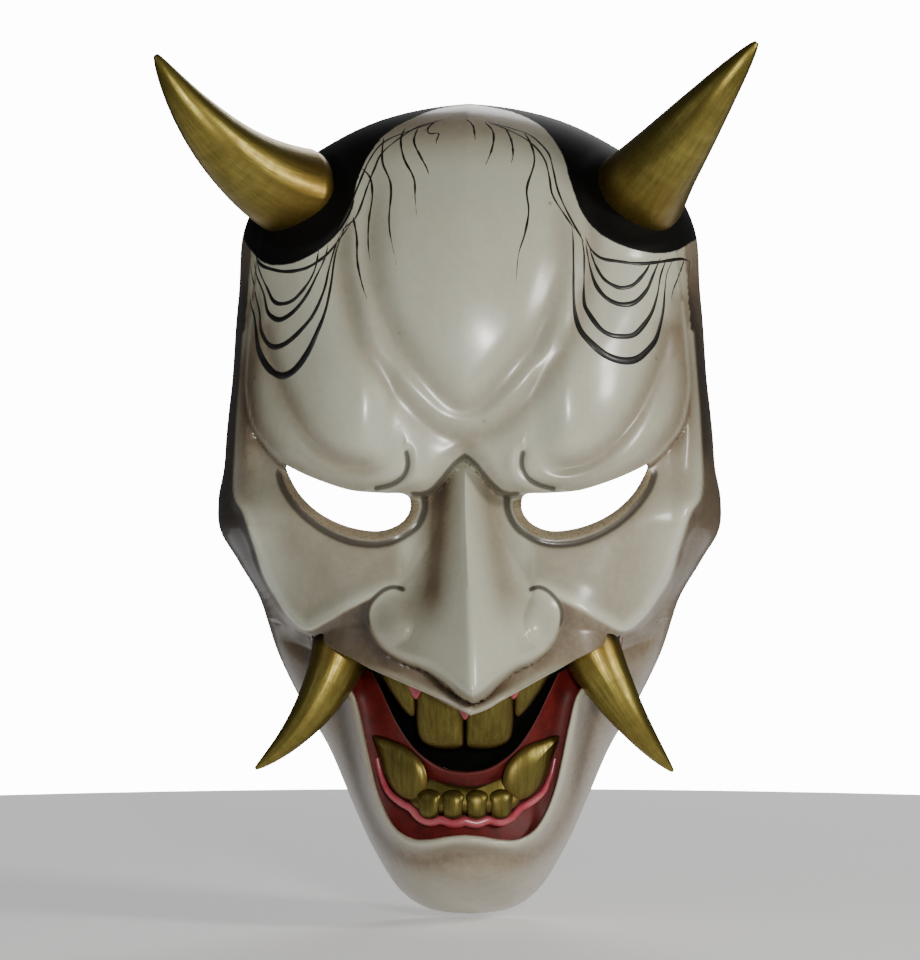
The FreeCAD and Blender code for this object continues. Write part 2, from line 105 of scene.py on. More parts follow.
LID_LINE = [(62.4, 13.6), (59.6, 3.5), (51, -6.4), (39, -13), (27, -14.2), (17.5, -10), (13.6, -4), (13.4, 1.8)]
NOSE_WING = [(20.5, -28.6), (23.5, -27.9), (27, -29.4), (30.2, -33), (31.3, -37), (30, -42), (27, -47),
             (22, -50.7), (14.5, -53.7), (8.8, -57.8), (4, -62), (0, -64)]
NOSE_BASE_TOP = [(24, 20), (21, -20)]
NOSE_LINE = [(12.5, 0), (12.8, -12), (14, -24), (18, -33)]        # the valley beside the nose
HAIR_CAP = {"right": [(0, 132.5), (8, 131), (17, 127.5), (27, 121), (33, 112), (36, 103), (37, 95), (41, 87.5),
                      (48, 81), (57, 77), (66, 77.5), (73, 84), (78, 92)],
            "left": [(0, 132.5), (7, 131), (16, 128.5), (25, 123), (31, 114), (34, 104), (37.5, 94),
                     (43, 87), (51, 82.5), (60, 80.5), (68, 81.5), (75, 86), (80, 90)]}

# Round swellings of the face: middle x and z, half width, half height, height.
FOREHEAD = (0, 68, 38, 52, 4.0)
BROW_LOBE = (40, 26, 38, 34, 5.0)
CHIN = (0, -122, 34, 34, 9.0)
NOSE_BALL = (19.5, -41, 14.5, 14, 12.0)
CHEEK_APPLE = (46, -22, 24, 18, 2.6)
SWELLINGS = (FOREHEAD, BROW_LOBE, CHIN, CHEEK_APPLE)
FACE_DEPTH = 66.0
NOSE_HEIGHT = 34.0
NOSE_TOP, NOSE_TIP = 13.0, -50.0
NOSE_LEAN = 3.2
BROW_OVERHANG = 8.0
CHEEK_RIDGE, TEMPLE_RIDGE = 6.5, 3.0
LIP_RIDGE = 7.0
JAW_SETBACK = 9.0
DOME_POWER, JAW_POWER = 3.0, 5.6
RIM_BAND = 0.14
RIM_WALL, WALL = 6.0, 5.0

HORN_ROOT = (57.0, 101.0)
HORN_COLLAR = (18.6, 2.4, 1.3)          # radius, width and height of the ring round each horn
HORNS = {"right_horn": ((0.668, 0.70, 0.25), (-0.25, -0.63, 0.74)),
         "left_horn": ((0.35, 0.83, 0.43), (0.62, 0.11, 0.78))}     # outward, forward, upward
HORN_RADIUS, HORN_LENGTH, HORN_BEND, HORN_TAPER, HORN_TIP = 15.5, 71.0, 50.0, 0.76, 0.7
TUSK_ROOT = (40.0, -46.5)
TUSKS = {"right_tusk": ((0.22, 0.34, -0.91), (0.72, 0.05, -0.66)),
         "left_tusk": ((0.38, 0.32, -0.87), (0.62, -0.30, -0.72))}
TUSK_RADIUS, TUSK_LENGTH, TUSK_BEND, TUSK_TAPER, TUSK_TIP = 10.2, 51.0, 45.0, 0.80, 0.5


# ---- Curves and distances ---------------------------------------------------------------------------
def smooth(t):
    """0 below 0, 1 above 1 and a soft step between."""
    t = np.clip(t, 0.0, 1.0)
    return t * t * (3.0 - 2.0 * t)


def hill(t):
    """1 at 0, falling softly to 0 at 1 and beyond."""
    return np.where(np.abs(t) < 1.0, (1.0 - t * t) ** 2, 0.0)


def bump(t):
    """A narrow ridge: 1 at 0, fading on both sides."""
    return np.exp(-t * t)


def through(points, steps=6, closed=False):
    """A smooth run of points through the given ones (Catmull-Rom)."""
    points = np.asarray(points, float)
    if closed:
        ends = np.vstack((points[-1:], points, points[:2]))
    else:
        ends = np.vstack((points[:1], points, points[-1:]))
    t = (np.arange(steps) / steps)[:, None]
    spans = []
    for p, q, r, s in zip(ends, ends[1:], ends[2:], ends[3:]):
        spans.append(0.5 * (2 * q + (r - p) * t + (2 * p - 5 * q + 4 * r - s) * t ** 2
                            + (3 * q - p - 3 * r + s) * t ** 3))
    run = np.vstack(spans)
    return run if closed else np.vstack((run, points[-1:]))


def nearest(run, x, z):
    """Signed distance to a run of points (positive on its left), nearest point, and share of the way along it."""
    lengths = np.hypot(*np.diff(run, axis=0).T)
    starts = np.concatenate(([0.0], np.cumsum(lengths)))
    best = np.full(x.shape, 1e9)
    sign, along = np.ones(x.shape), np.zeros(x.shape)
    px, pz = np.zeros(x.shape), np.zeros(x.shape)
    for k, ((ax, az), (bx, bz)) in enumerate(zip(run, run[1:])):
        ex, ez = bx - ax, bz - az
        t = np.clip(((x - ax) * ex + (z - az) * ez) / (ex * ex + ez * ez), 0.0, 1.0)
        cx, cz = ax + t * ex, az + t * ez
        gap = np.hypot(x - cx, z - cz)
        closer = gap < best
        best = np.where(closer, gap, best)
        sign = np.where(closer, np.where(ex * (z - cz) - ez * (x - cx) > 0, 1.0, -1.0), sign)
        along = np.where(closer, (starts[k] + t * lengths[k]) / starts[-1], along)
        px, pz = np.where(closer, cx, px), np.where(closer, cz, pz)
    return sign * best, px, pz, along


def side_of(run, x, z):
    return nearest(run, x, z)[0]


RUNS = {name: through(points) for name, points in {
    "rim": RIM, "brow": BROW_EDGE, "crest": CHEEK_CREST, "lip": UPPER_LIP, "egg": FOREHEAD_EGG,
    "fold": BROW_FOLD, "frown": FROWN, "lid": LID_LINE, "wing": NOSE_WING, "valley": NOSE_LINE}.items()}


def mirrored(half):
    """A closed outline from the half with x >= 0, which runs from the middle to the middle."""
    return half + [(-x, z) for x, z in reversed(half) if x > 0]


def mouth_outline():
    """The mouth as one closed run with sharp corners, anticlockwise in x and z reversed."""
    upper = through(list(reversed(UPPER_LIP[1:])))
    lower = through(LOWER_LIP)
    half = np.vstack((upper[:-1], lower))
    other = half[-2:0:-1] * (-1.0, 1.0)
    return np.vstack((half, other, half[:1]))


def eye_outline(side):
    """One eye opening as a closed run, sharp at its outer corner."""
    run = through(EYE + [EYE[0]])
    return run * (side, 1.0)


MOUTH = mouth_outline()
EYES = {name: eye_outline(side) for name, side in SIDES.items()}
NOSE_BASE = np.vstack(([(-5.0, 20.0)], NOSE_BASE_TOP, RUNS["wing"], [(-5.0, -64.0), (-5.0, 20.0)]))


def inside(outline, x, z):
    """Distance to a closed outline, positive inside, with the nearest point and the share of the way round."""
    gap, px, pz, along = nearest(outline, x, z)
    odd = np.zeros(x.shape, bool)
    for (ax, az), (bx, bz) in zip(outline, outline[1:]):
        if az == bz:
            continue
        crosses = (az > z) != (bz > z)
        odd ^= crosses & (x < (bx - ax) * (z - az) / (bz - az) + ax)
    return np.where(odd, np.abs(gap), -np.abs(gap)), px, pz, along


# ---- The carved face ----------------------------------------------------------------------------------
def rim_radius(x, z):
    """Radius of the rim outline in the direction of a place."""
    angle = np.degrees(np.arctan2(z, np.abs(x)))
    rim = RUNS["rim"]
    return np.interp(angle, rim[::-1, 0], rim[::-1, 1])


def dome(x, z, share, depth=FACE_DEPTH):
    """Depth of the plain dome, where share is the way from its middle (0) to the rim (1)."""
    downward = -z / (np.hypot(x, z) + 1e-9)
    power = DOME_POWER + (JAW_POWER - DOME_POWER) * smooth((downward - 0.55) / 0.4)
    return depth * np.sqrt(np.maximum(0.0, 1.0 - share ** power))


def swelling(shape, x, z):
    middle_x, middle_z, half_width, half_height, height = shape
    return height * hill(np.hypot((x - middle_x) / half_width, (z - middle_z) / half_height))


def nose(x, z, gap):
    """How far the nose stands out: a crisp ridge that widens to the tip, and a wing on each side."""
    along = (NOSE_TOP - z) / (NOSE_TOP - NOSE_TIP)
    rise = NOSE_HEIGHT * (0.12 + 0.88 * smooth(along * 0.92)) * smooth(along / 0.05)
    half_width = 6.5 + 9.0 * smooth(along) + 15.0 * smooth((along - 0.30) / 0.68)
    edge = np.sqrt(x * x + 1.3) - 0.6
    ridge = np.maximum(0.0, 1.0 - edge / half_width) ** 1.15
    body = np.maximum(rise * ridge, swelling(NOSE_BALL, x, z) * 0.9)
    inward_share = np.clip((gap["base"] + 0.8) / 5.0, 0.0, 1.0)
    under = np.sqrt(1.0 - (1.0 - inward_share) ** 2)
    lower_part = smooth((-29.0 - z) / 9.0)
    return np.where(along > 0, body * (1.0 - lower_part * (1.0 - under)), 0.0)


def gaps(x, z):
    """Signed distance to every carved line, for places with x > 0."""
    found = {name: side_of(RUNS[name], x, z) for name in ("brow", "crest", "lip", "egg", "fold", "frown",
                                                            "lid", "wing", "valley")}
    found["nose"] = inside(NOSE_BASE, x, z)[0]
    within_nose = np.where(found["nose"] > 0.0, 1.0, -1.0)
    found["wing"] = within_nose * np.abs(found["wing"])
    found["base"] = within_nose * np.abs(side_of(RUNS["wing"][12:], x, z))
    found["crest"] = -found["crest"]
    found["mouth"] = -inside(MOUTH, x, z)[0]
    found["eye"] = -inside(EYES["left"], x, z)[0]
    return found


def relief(x, z, gap):
    """Everything but the nose that stands out of, or into, the plain dome."""
    rise = sum(swelling(shape, x, z) for shape in SWELLINGS)
    rise += brow_relief(x, z, gap) + cheek_relief(x, z, gap) + mouth_relief(x, z, gap)
    radius, width, height = HORN_COLLAR
    rise += height * bump((np.hypot(x - HORN_ROOT[0], z - HORN_ROOT[1]) - radius) / width)
    return rise


def brow_relief(x, z, gap):
    """The forehead egg, the brow lobes with their folds, the overhang and the lower lid."""
    egg = -gap["egg"]
    low = smooth((118.0 - z) / 30.0)
    rise = low * (2.8 * smooth((egg + 4.0) / 20.0) + 0.9 * bump((egg - 0.6) / 2.8)
                  - 0.8 * bump((egg - 6.0) / 4.4) - 0.6 * bump((egg + 4.6) / 3.8))
    fold = gap["fold"]
    fades = smooth((x - 22.0) / 12.0) * smooth((74.0 - z) / 24.0)
    above = np.maximum(-fold, 0.0)
    rise += fades * (3.0 * (1.0 - np.exp(-above / 6.0)) + 1.0 * bump((fold - 6.0) / 4.0))
    rise -= fades * 1.5 * bump((fold + 0.3) / 2.6)
    brow = gap["brow"]
    roll = np.clip(1.0 + brow / 6.0, 0.0, 1.0)
    facing = 0.12 + 0.88 * smooth((75.0 - x) / 9.0)
    rise += np.where(brow < 0.0, -3.2 * facing * roll ** 2.4, 0.0)
    below = np.maximum(brow, 0.0)
    socket = BROW_OVERHANG * smooth(below / 1.6) * np.exp(-below / 24.0)
    recess = -3.2 * np.exp(-below / 14.0) - socket + 2.0 * smooth(below / 18.0)
    rise += np.where(brow >= 0.0, recess * facing, 0.0)
    rise -= 1.1 * bump(gap["frown"] / 1.2) * smooth((z - 1.0) / 4.0)
    rise += 0.9 * bump((gap["frown"] + 3.2) / 2.4) * bump((z - 10.0) / 9.0)
    under_eye = smooth(brow / 2.0)
    bevel = np.clip(1.0 - gap["eye"] / 3.2, 0.0, 1.0)
    rise -= under_eye * (1.8 * bevel * bevel + 0.8 * bump(gap["lid"] / 1.2)) * smooth((12.0 - z) / 6.0)
    return rise


def cheek_relief(x, z, gap):
    """The ridge from the temple round the cheek to the nostril, with a step down outside it."""
    crest = gap["crest"]
    strong = smooth((12.0 - z) / 14.0) * smooth((x - 46.0) / 10.0)
    height = TEMPLE_RIDGE + (CHEEK_RIDGE - TEMPLE_RIDGE) * strong
    within = np.maximum(crest, 0.0)
    beyond = np.maximum(-crest, 0.0)
    muzzle = smooth((46.0 - x) / 14.0) * smooth((-20.0 - z) / 8.0)
    rise = np.where(crest > 0.0, height * np.exp(-within / 11.0),
                    height * (1.0 - smooth(beyond / (4.0 + 5.0 * muzzle))))
    rise *= smooth((x - 12.0) / 12.0)
    rise -= 2.0 * strong * bump((beyond - 6.0) / 4.0) * (crest < 0.0)
    rise -= 1.4 * bump(gap["valley"] / 5.0) * smooth((z + 36.0) / 12.0)
    return rise


def mouth_relief(x, z, gap):
    """The upper lip, the jaw beside the mouth, the raised lower lip and the hollow below it."""
    below = gap["lip"]
    rise = LIP_RIDGE * np.exp(-np.abs(below) / 11.0) * smooth((62.0 - x) / 25.0)
    beside = smooth((x - 22.0) / 14.0)
    rise -= np.where(below > 0.0, JAW_SETBACK * smooth(below / 6.0) * beside * np.exp(-below / 40.0), 0.0)
    lower = smooth((-56.0 - z) / 8.0)
    away = gap["mouth"]
    rise += lower * (2.6 * bump((away - 1.0) / 2.0) - 1.3 * bump((away - 5.4) / 2.2))
    rise -= 2.2 * hill(np.hypot(x / 24.0, (z + 116.5) / 6.5))
    return rise


def outer_depth(x, z, share=None):
    """Depth of the carved front at a place, and the distances to its carved lines."""
    x = np.abs(x)
    if share is None:
        share = np.minimum(1.0, np.hypot(x, z) / rim_radius(x, z))
    gap = gaps(x, z)
    fade = smooth((1.0 - share) / RIM_BAND)
    return dome(x, z, share) + fade * (relief(x, z, gap) + nose(x, z, gap)), gap, share


def placed(x, depth, z):
    """Points of the drawing in the frame, in metres."""
    return np.stack((x * SCALE_X, -depth, z * SCALE_Z), axis=-1) * MM


# ---- Square grids laid over the face --------------------------------------------------------------
def spread(count, fine_from, fine_to, gain):
    """Grid lines from -1 to 1, closer together between two values."""
    t = np.linspace(-1.0, 1.0, 2001)
    density = 1.0 + gain * smooth((t - fine_from) / 0.1) * smooth((fine_to - t) / 0.1)
    total = np.concatenate(([0.0], np.cumsum((density[1:] + density[:-1]) / 2.0)))
    return np.interp(np.linspace(0.0, total[-1], count + 1), total, t)


def rim_share(reach, knee=0.86):
    """Share of the way to the rim: even near the middle and closing up towards the rim."""
    return np.where(reach < knee, 2.0 * reach / (1.0 + knee),
                    1.0 - (1.0 - reach) ** 2 / (1.0 - knee ** 2))


def disc_grid(us, vs):
    """Directions and rim shares of a square grid bent into a disc."""
    u, v = np.meshgrid(us, vs, indexing="ij")
    a, b = u * np.sqrt(1.0 - v * v / 2.0), v * np.sqrt(1.0 - u * u / 2.0)
    reach = np.minimum(1.0, np.hypot(a, b))
    angle = np.arctan2(b, a)
    return angle, rim_share(reach)


def grid_faces(columns, rows):
    """The quads of a grid with that many cells."""
    i, j = np.meshgrid(np.arange(columns), np.arange(rows), indexing="ij")
    first = (i * (rows + 1) + j).ravel()
    return np.stack((first, first + rows + 1, first + rows + 2, first + 1), axis=1)


def cut_opening(x, z, faces, outline):
    """Cuts an opening from a grid: moves the nearest grid points onto its outline and drops what is inside.
    Returns the places, the remaining faces, and the opening's loop as point numbers and shares of the way round."""
    low, high = outline.min(axis=0) - 4.0, outline.max(axis=0) + 4.0
    where = np.nonzero((x > low[0]) & (x < high[0]) & (z > low[1]) & (z < high[1]))[0]
    depth_in, px, pz, along = inside(outline, x[where], z[where])
    gap = np.full(x.shape, -1e9)
    gap[where] = depth_in
    shares = np.zeros(x.shape)
    shares[where] = along
    edges = np.vstack([faces[:, (k, (k + 1) % 4)] for k in range(4)])
    edges = edges[(edges >= 0).all(axis=1)]
    crossing = edges[gap[edges[:, 0]] * gap[edges[:, 1]] < 0.0]
    first_nearer = np.abs(gap[crossing[:, 0]]) < np.abs(gap[crossing[:, 1]])
    moved = np.unique(np.where(first_nearer, crossing[:, 0], crossing[:, 1]))
    spots = np.searchsorted(where, moved)
    x, z, gap = x.copy(), z.copy(), gap.copy()
    x[moved], z[moved], gap[moved] = px[spots], pz[spots], 0.0
    corners = np.where(faces >= 0, faces, faces[:, :1])
    state = np.sign(gap[corners])
    kept = faces[(state <= 0).all(axis=1) & ~(state == 0).all(axis=1)]
    mixed = faces[(state > 0).any(axis=1) & (state < 0).any(axis=1)]
    triangles = []
    for face in mixed:
        outer = int(np.argmin(gap[face]))
        triangles.append((face[outer - 1], face[outer], face[(outer + 1) % 4], -1))
    if triangles:
        kept = np.vstack((kept, triangles))
    loop = open_loop(kept, gap == 0.0)
    return x, z, kept, oriented(loop, shares[loop])


def open_loop(faces, marked):
    """The numbers of the marked points round an opening, in order."""
    steps = {}
    for face in faces[marked[faces].sum(axis=1) >= 2]:
        ring = [int(k) for k in face if k >= 0]
        for a, b in zip(ring, ring[1:] + ring[:1]):
            steps[(a, b)] = steps.get((a, b), 0) + 1
    follow = {}
    for a, b in steps:
        if marked[a] and marked[b] and (b, a) not in steps:
            follow[b] = a
    start = next(iter(follow))
    loop = [start]
    while follow[loop[-1]] != start:
        loop.append(follow[loop[-1]])
    return np.array(loop)


def oriented(loop, shares):
    """A loop turned to start at its smallest share and run with growing shares."""
    if np.sign(np.diff(shares)).sum() < 0:
        loop, shares = loop[::-1], shares[::-1]
    first = int(np.argmin(shares))
    return np.roll(loop, -first), np.maximum.accumulate(np.roll(shares, -first))


def zip_loops(first, first_share, second, second_share):
    """Triangles between two closed loops of point numbers that run the same way round."""
    a, sa, b, sb = first, first_share, second, second_share
    triangles = []
    i = j = 0
    while i < len(a) or j < len(b):
        next_a = sa[i + 1] if i + 1 < len(a) else 1.0 + sa[(i + 1) % len(a)]
        next_b = sb[j + 1] if j + 1 < len(b) else 1.0 + sb[(j + 1) % len(b)]
        if j >= len(b) or (i < len(a) and next_a <= next_b):
            triangles.append((a[i % len(a)], b[j % len(b)], a[(i + 1) % len(a)], -1))
            i += 1
        else:
            triangles.append((a[i % len(a)], b[j % len(b)], b[(j + 1) % len(b)], -1))
            j += 1
    return np.array(triangles)


# ---- Meshes ---------------------------------------------------------------------------------------------
def make_object(name, points, faces, attributes=None, shade_smooth=True, slots=None):
    """A mesh object from points in metres and faces, where -1 ends a triangle."""
    mesh = bpy.data.meshes.new(name)
    rows = [tuple(int(k) for k in face if k >= 0) for face in faces]
    mesh.from_pydata([tuple(p) for p in points], [], rows)
    for key, values in (attributes or {}).items():
        values = np.asarray(values, np.float32)
        if values.ndim == 2:
            layer = mesh.attributes.new(key, "FLOAT_VECTOR", "POINT")
            layer.data.foreach_set("vector", values.ravel())
        else:
            layer = mesh.attributes.new(key, "FLOAT", "POINT")
            layer.data.foreach_set("value", values)
    if slots is not None:
        mesh.polygons.foreach_set("material_index", np.asarray(slots, np.int32))
    mesh.polygons.foreach_set("use_smooth", np.full(len(mesh.polygons), shade_smooth))
    mesh.update()
    thing = bpy.data.objects.new(name, mesh)
    bpy.context.scene.collection.objects.link(thing)
    return thing


def tidy_normals(thing, merge=0.0):
    """Merges doubles and turns every face outwards."""
    work = bmesh.new()
    work.from_mesh(thing.data)
    if merge > 0.0:
        bmesh.ops.remove_doubles(work, verts=work.verts, dist=merge)
    bmesh.ops.recalc_face_normals(work, faces=work.faces)
    work.to_mesh(thing.data)
    work.free()
    thing.data.update()


def finish_piece(thing, nodes=(), materials=()):
    """Gives a piece its materials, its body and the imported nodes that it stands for."""
    for material in materials:
        thing.data.materials.append(material)
    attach(thing, ROOT)
    if nodes:
        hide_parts(*nodes)
    return thing


def bake_modifiers(thing):
    """Replaces a mesh by what its modifiers make of it."""
    graph = bpy.context.evaluated_depsgraph_get()
    made = bpy.data.meshes.new_from_object(thing.evaluated_get(graph), depsgraph=graph)
    thing.modifiers.clear()
    thing.data = made
    for polygon in made.polygons:
        polygon.use_smooth = True


# ---- Node wiring --------------------------------------------------------------------------------------
class Wiring:
    """Adds nodes to a tree and joins them."""

    def __init__(self, tree):
        self.tree = tree

    def add(self, kind, inputs=None, **settings):
        node = self.tree.nodes.new(kind)
        for key, value in settings.items():
            setattr(node, key, value)
        for key, value in (inputs or {}).items():
            if isinstance(value, bpy.types.NodeSocket):
                self.tree.links.new(value, node.inputs[key])
            else:
                node.inputs[key].default_value = value
        return node

    def math(self, operation, *values, clamp=False):
        node = self.add("ShaderNodeMath", {k: v for k, v in enumerate(values)}, operation=operation)
        node.use_clamp = clamp
        return node.outputs[0]

    def mix(self, share, first, second, blend="MIX"):
        node = self.add("ShaderNodeMix", {0: share, 6: first, 7: second}, data_type="RGBA", blend_type=blend)
        return node.outputs[2]

    def step(self, value, low, high, to_low=0.0, to_high=1.0):
        node = self.add("ShaderNodeMapRange", {0: value, 1: low, 2: high, 3: to_low, 4: to_high})
        node.interpolation_type = "SMOOTHSTEP"
        return node.outputs[0]

    def attribute(self, name):
        return self.add("ShaderNodeAttribute", attribute_name=name).outputs["Fac"]

    def noise(self, scale, detail=3.0, roughness=0.55, stretch=None, distortion=0.0, where=None):
        if where is None:
            where = self.add("ShaderNodeTexCoord").outputs["Object"]
        if stretch:
            where = self.add("ShaderNodeMapping", {0: where, 3: stretch}).outputs[0]
        node = self.add("ShaderNodeTexNoise", {"Vector": where, "Scale": scale, "Detail": detail,
                                               "Roughness": roughness, "Distortion": distortion})
        return node.outputs[0]


def colour(value):
    """A colour with its alpha."""
    return (value[0], value[1], value[2], 1.0)


def new_group(name, inputs, outputs):
    """An empty shader group with named sockets, as (tree, wiring, input sockets, output node)."""
    tree = bpy.data.node_groups.new(name, "ShaderNodeTree")
    for key, (kind, default) in inputs.items():
        socket = tree.interface.new_socket(key, in_out="INPUT", socket_type=kind)
        socket.default_value = default
    for key, kind in outputs.items():
        tree.interface.new_socket(key, in_out="OUTPUT", socket_type=kind)
    wiring = Wiring(tree)
    entry = wiring.add("NodeGroupInput")
    leave = wiring.add("NodeGroupOutput")
    return tree, wiring, entry.outputs, leave


def group(name):
    """A shared shader group, built the first time it is asked for."""
    if name not in bpy.data.node_groups:
        GROUPS[name](name)
    return bpy.data.node_groups[name]


def build_brushed_paint(name):
    """Hand-brushed paint: streaks along a direction, blotches, and a fine bump."""
    tree, w, given, leave = new_group(
        name,
        {"Vector": ("NodeSocketVector", (0, 0, 0)), "Stretch": ("NodeSocketVector", (1, 1, 1)),
         "Scale": ("NodeSocketFloat", 300.0), "Dark": ("NodeSocketColor", (0, 0, 0, 1)),
         "Light": ("NodeSocketColor", (1, 1, 1, 1)), "Blotches": ("NodeSocketFloat", 60.0)},
        {"Color": "NodeSocketColor", "Streaks": "NodeSocketFloat"})
    where = w.add("ShaderNodeVectorMath", {0: given["Vector"], 1: given["Stretch"]}, operation="MULTIPLY")
    streaks = w.add("ShaderNodeTexNoise", {"Vector": where.outputs[0], "Scale": given["Scale"], "Detail": 5.0,
                                           "Roughness": 0.65}).outputs[0]
    blotches = w.add("ShaderNodeTexNoise", {"Vector": given["Vector"], "Scale": given["Blotches"],
                                            "Detail": 3.0, "Roughness": 0.6}).outputs[0]
    both = w.math("ADD", w.math("MULTIPLY", streaks, 0.65), w.math("MULTIPLY", blotches, 0.35))
    share = w.step(both, 0.27, 0.74)
    w.tree.links.new(w.mix(share, given["Dark"], given["Light"]), leave.inputs["Color"])
    w.tree.links.new(both, leave.inputs["Streaks"])


def build_specks(name):
    """Fine dust and pin specks in old paint, as a mask from 0 to 1."""
    tree, w, given, leave = new_group(
        name, {"Vector": ("NodeSocketVector", (0, 0, 0)), "Scale": ("NodeSocketFloat", 900.0),
               "Amount": ("NodeSocketFloat", 0.5)},
        {"Dust": "NodeSocketFloat", "Specks": "NodeSocketFloat"})
    dust = w.add("ShaderNodeTexNoise", {"Vector": given["Vector"], "Scale": given["Scale"], "Detail": 2.0}).outputs[0]
    cells = w.add("ShaderNodeTexVoronoi", {"Vector": given["Vector"], "Scale": w.math("MULTIPLY", given["Scale"], 0.16)})
    rare = w.add("ShaderNodeSeparateColor", {0: cells.outputs["Color"]}).outputs[0]
    dots = w.math("MULTIPLY", w.step(cells.outputs["Distance"], 0.05, 0.16, 1.0, 0.0), w.step(rare, 0.9, 0.94))
    w.tree.links.new(w.math("MULTIPLY", dots, given["Amount"]), leave.inputs["Specks"])
    w.tree.links.new(w.math("MULTIPLY", dust, given["Amount"]), leave.inputs["Dust"])


def build_wood(name):
    """Straight-grained cypress: growth lines along Z with a little drift."""
    tree, w, given, leave = new_group(
        name, {"Vector": ("NodeSocketVector", (0, 0, 0)), "Lines": ("NodeSocketFloat", 420.0),
               "Dark": ("NodeSocketColor", (0, 0, 0, 1)), "Light": ("NodeSocketColor", (1, 1, 1, 1))},
        {"Color": "NodeSocketColor", "Grain": "NodeSocketFloat"})
    drift = w.add("ShaderNodeTexNoise", {"Vector": given["Vector"], "Scale": 9.0, "Detail": 2.0}).outputs[0]
    x = w.add("ShaderNodeSeparateXYZ", {0: given["Vector"]}).outputs
    line = w.math("ADD", w.math("MULTIPLY", x[0], given["Lines"]), w.math("MULTIPLY", drift, 9.0))
    line = w.math("ADD", line, w.math("MULTIPLY", x[1], 160.0))
    wave = w.math("ABSOLUTE", w.math("SINE", line))
    squeezed = w.add("ShaderNodeMapping", {0: given["Vector"], 3: (1.0, 1.0, 0.05)}).outputs[0]
    fibre = w.add("ShaderNodeTexNoise", {"Vector": squeezed, "Scale": 900.0, "Detail": 3.0}).outputs[0]
    grain = w.math("ADD", w.math("MULTIPLY", wave, 0.5), w.math("MULTIPLY", fibre, 0.5))
    w.tree.links.new(w.mix(w.step(grain, 0.3, 0.85), given["Dark"], given["Light"]), leave.inputs["Color"])
    w.tree.links.new(grain, leave.inputs["Grain"])


GROUPS = {"brushed_paint": build_brushed_paint, "paint_specks": build_specks, "cypress_grain": build_wood}


def new_material(name, **shader):
    """A material with one Principled shader, as (material, wiring, shader node)."""
    material = bpy.data.materials.new(name)
    material.use_nodes = True
    tree = material.node_tree
    principled = tree.nodes["Principled BSDF"]
    for key, value in shader.items():
        principled.inputs[key.replace("_", " ")].default_value = value
    return material, Wiring(tree), principled


def join(w, socket, principled, name):
    w.tree.links.new(socket, principled.inputs[name])


def add_bump(w, principled, height, strength, distance):
    """A bump from a height, joined to the shader's normal."""
    node = w.add("ShaderNodeBump", {"Height": height, "Strength": strength, "Distance": distance})
    join(w, node.outputs[0], principled, "Normal")


# ---- The face piece -----------------------------------------------------------------------------------
OPENINGS = {"left_eye": EYES["left"], "right_eye": EYES["right"], "mouth": MOUTH}
OUTER_GRID = (240, 324)
INNER_GRID = (110, 150)
LEAST_WALL = 3.0
HORN_MOUND = (15.0, 30.0)               # height and reach of the thick wood behind each horn


def disc_places(us, vs, trim):
    """Places of a disc grid inside the rim, less a trim, with each place's share of the way to that edge."""
    angle, share = disc_grid(us, vs)
    reach = share * (rim_radius(np.cos(angle), np.sin(angle)) - trim)
    return reach * np.cos(angle), reach * np.sin(angle), share


def perimeter(columns, rows, x, z):
    """The grid's edge as a closed loop of point numbers with shares of a full turn."""
    i = np.concatenate((np.arange(columns), np.full(rows, columns), np.arange(columns, 0, -1), np.zeros(rows, int)))
    j = np.concatenate((np.zeros(columns, int), np.arange(rows), np.full(columns, rows), np.arange(rows, 0, -1)))
    loop = i * (rows + 1) + j
    return oriented(loop, (np.arctan2(z[loop], x[loop]) / (2.0 * math.pi)) % 1.0)


def cut_all(x, z, faces):
    """Cuts the eyes and the mouth."""
    loops = {}
    for name, outline in OPENINGS.items():
        x, z, faces, loops[name] = cut_opening(x, z, faces, outline)
    return x, z, faces, loops


def blurred(grid, times):
    """A grid of depths, smoothed everywhere but on its edge."""
    for _ in range(times):
        near = (grid[:-2, 1:-1] + grid[2:, 1:-1] + grid[1:-1, :-2] + grid[1:-1, 2:]) / 4.0
        grid = grid.copy()
        grid[1:-1, 1:-1] = 0.5 * grid[1:-1, 1:-1] + 0.5 * near
    return grid


def cavity_depth(x, z, share=None):
    """Depth of the hollow's surface, a wall's thickness behind a softer version of the front."""
    x = np.abs(np.asarray(x, float))
    z = np.asarray(z, float)
    trim = 1.0 - RIM_WALL / rim_radius(x, z)
    wide, high = x / trim, z / trim
    if share is None:
        share = np.minimum(1.0, np.hypot(wide, high) / rim_radius(x, z))
    gap = gaps(wide, high)
    fade = smooth((1.0 - share) / RIM_BAND)
    depth = dome(wide, high, share) + fade * (0.85 * relief(wide, high, gap) + 0.75 * nose(wide, high + 2.0, gap))
    return depth - WALL * smooth((1.0 - share) / 0.05)


def nose_lean(x, z):
    """How far the hand-carved nose drifts to the wearer's left towards its tip."""
    return NOSE_LEAN * smooth((10.0 - z) / 70.0) * hill(x / 34.0) * (1.0 - smooth((-66.0 - z) / 6.0))


def outer_half():
    """The carved front: points, faces, loops, and the masks for its paint."""
    columns, rows = OUTER_GRID
    x, z, share = disc_places(spread(columns, -0.7, 0.7, 0.3), spread(rows, -0.85, 0.25, 0.6), 0.0)
    x, z, share = x.ravel(), z.ravel(), share.ravel()
    edge = share >= 1.0
    rim = perimeter(columns, rows, x, z)
    x, z, faces, loops = cut_all(x, z, grid_faces(columns, rows))
    share = np.where(edge, 1.0, np.minimum(0.9999, np.hypot(x, z) / rim_radius(x, z)))
    depth, gap, share = outer_depth(x, z, share)
    masks = paint_masks(x, z, gap)
    return np.stack((x + nose_lean(x, z), depth, z), axis=1), faces, loops, rim, masks


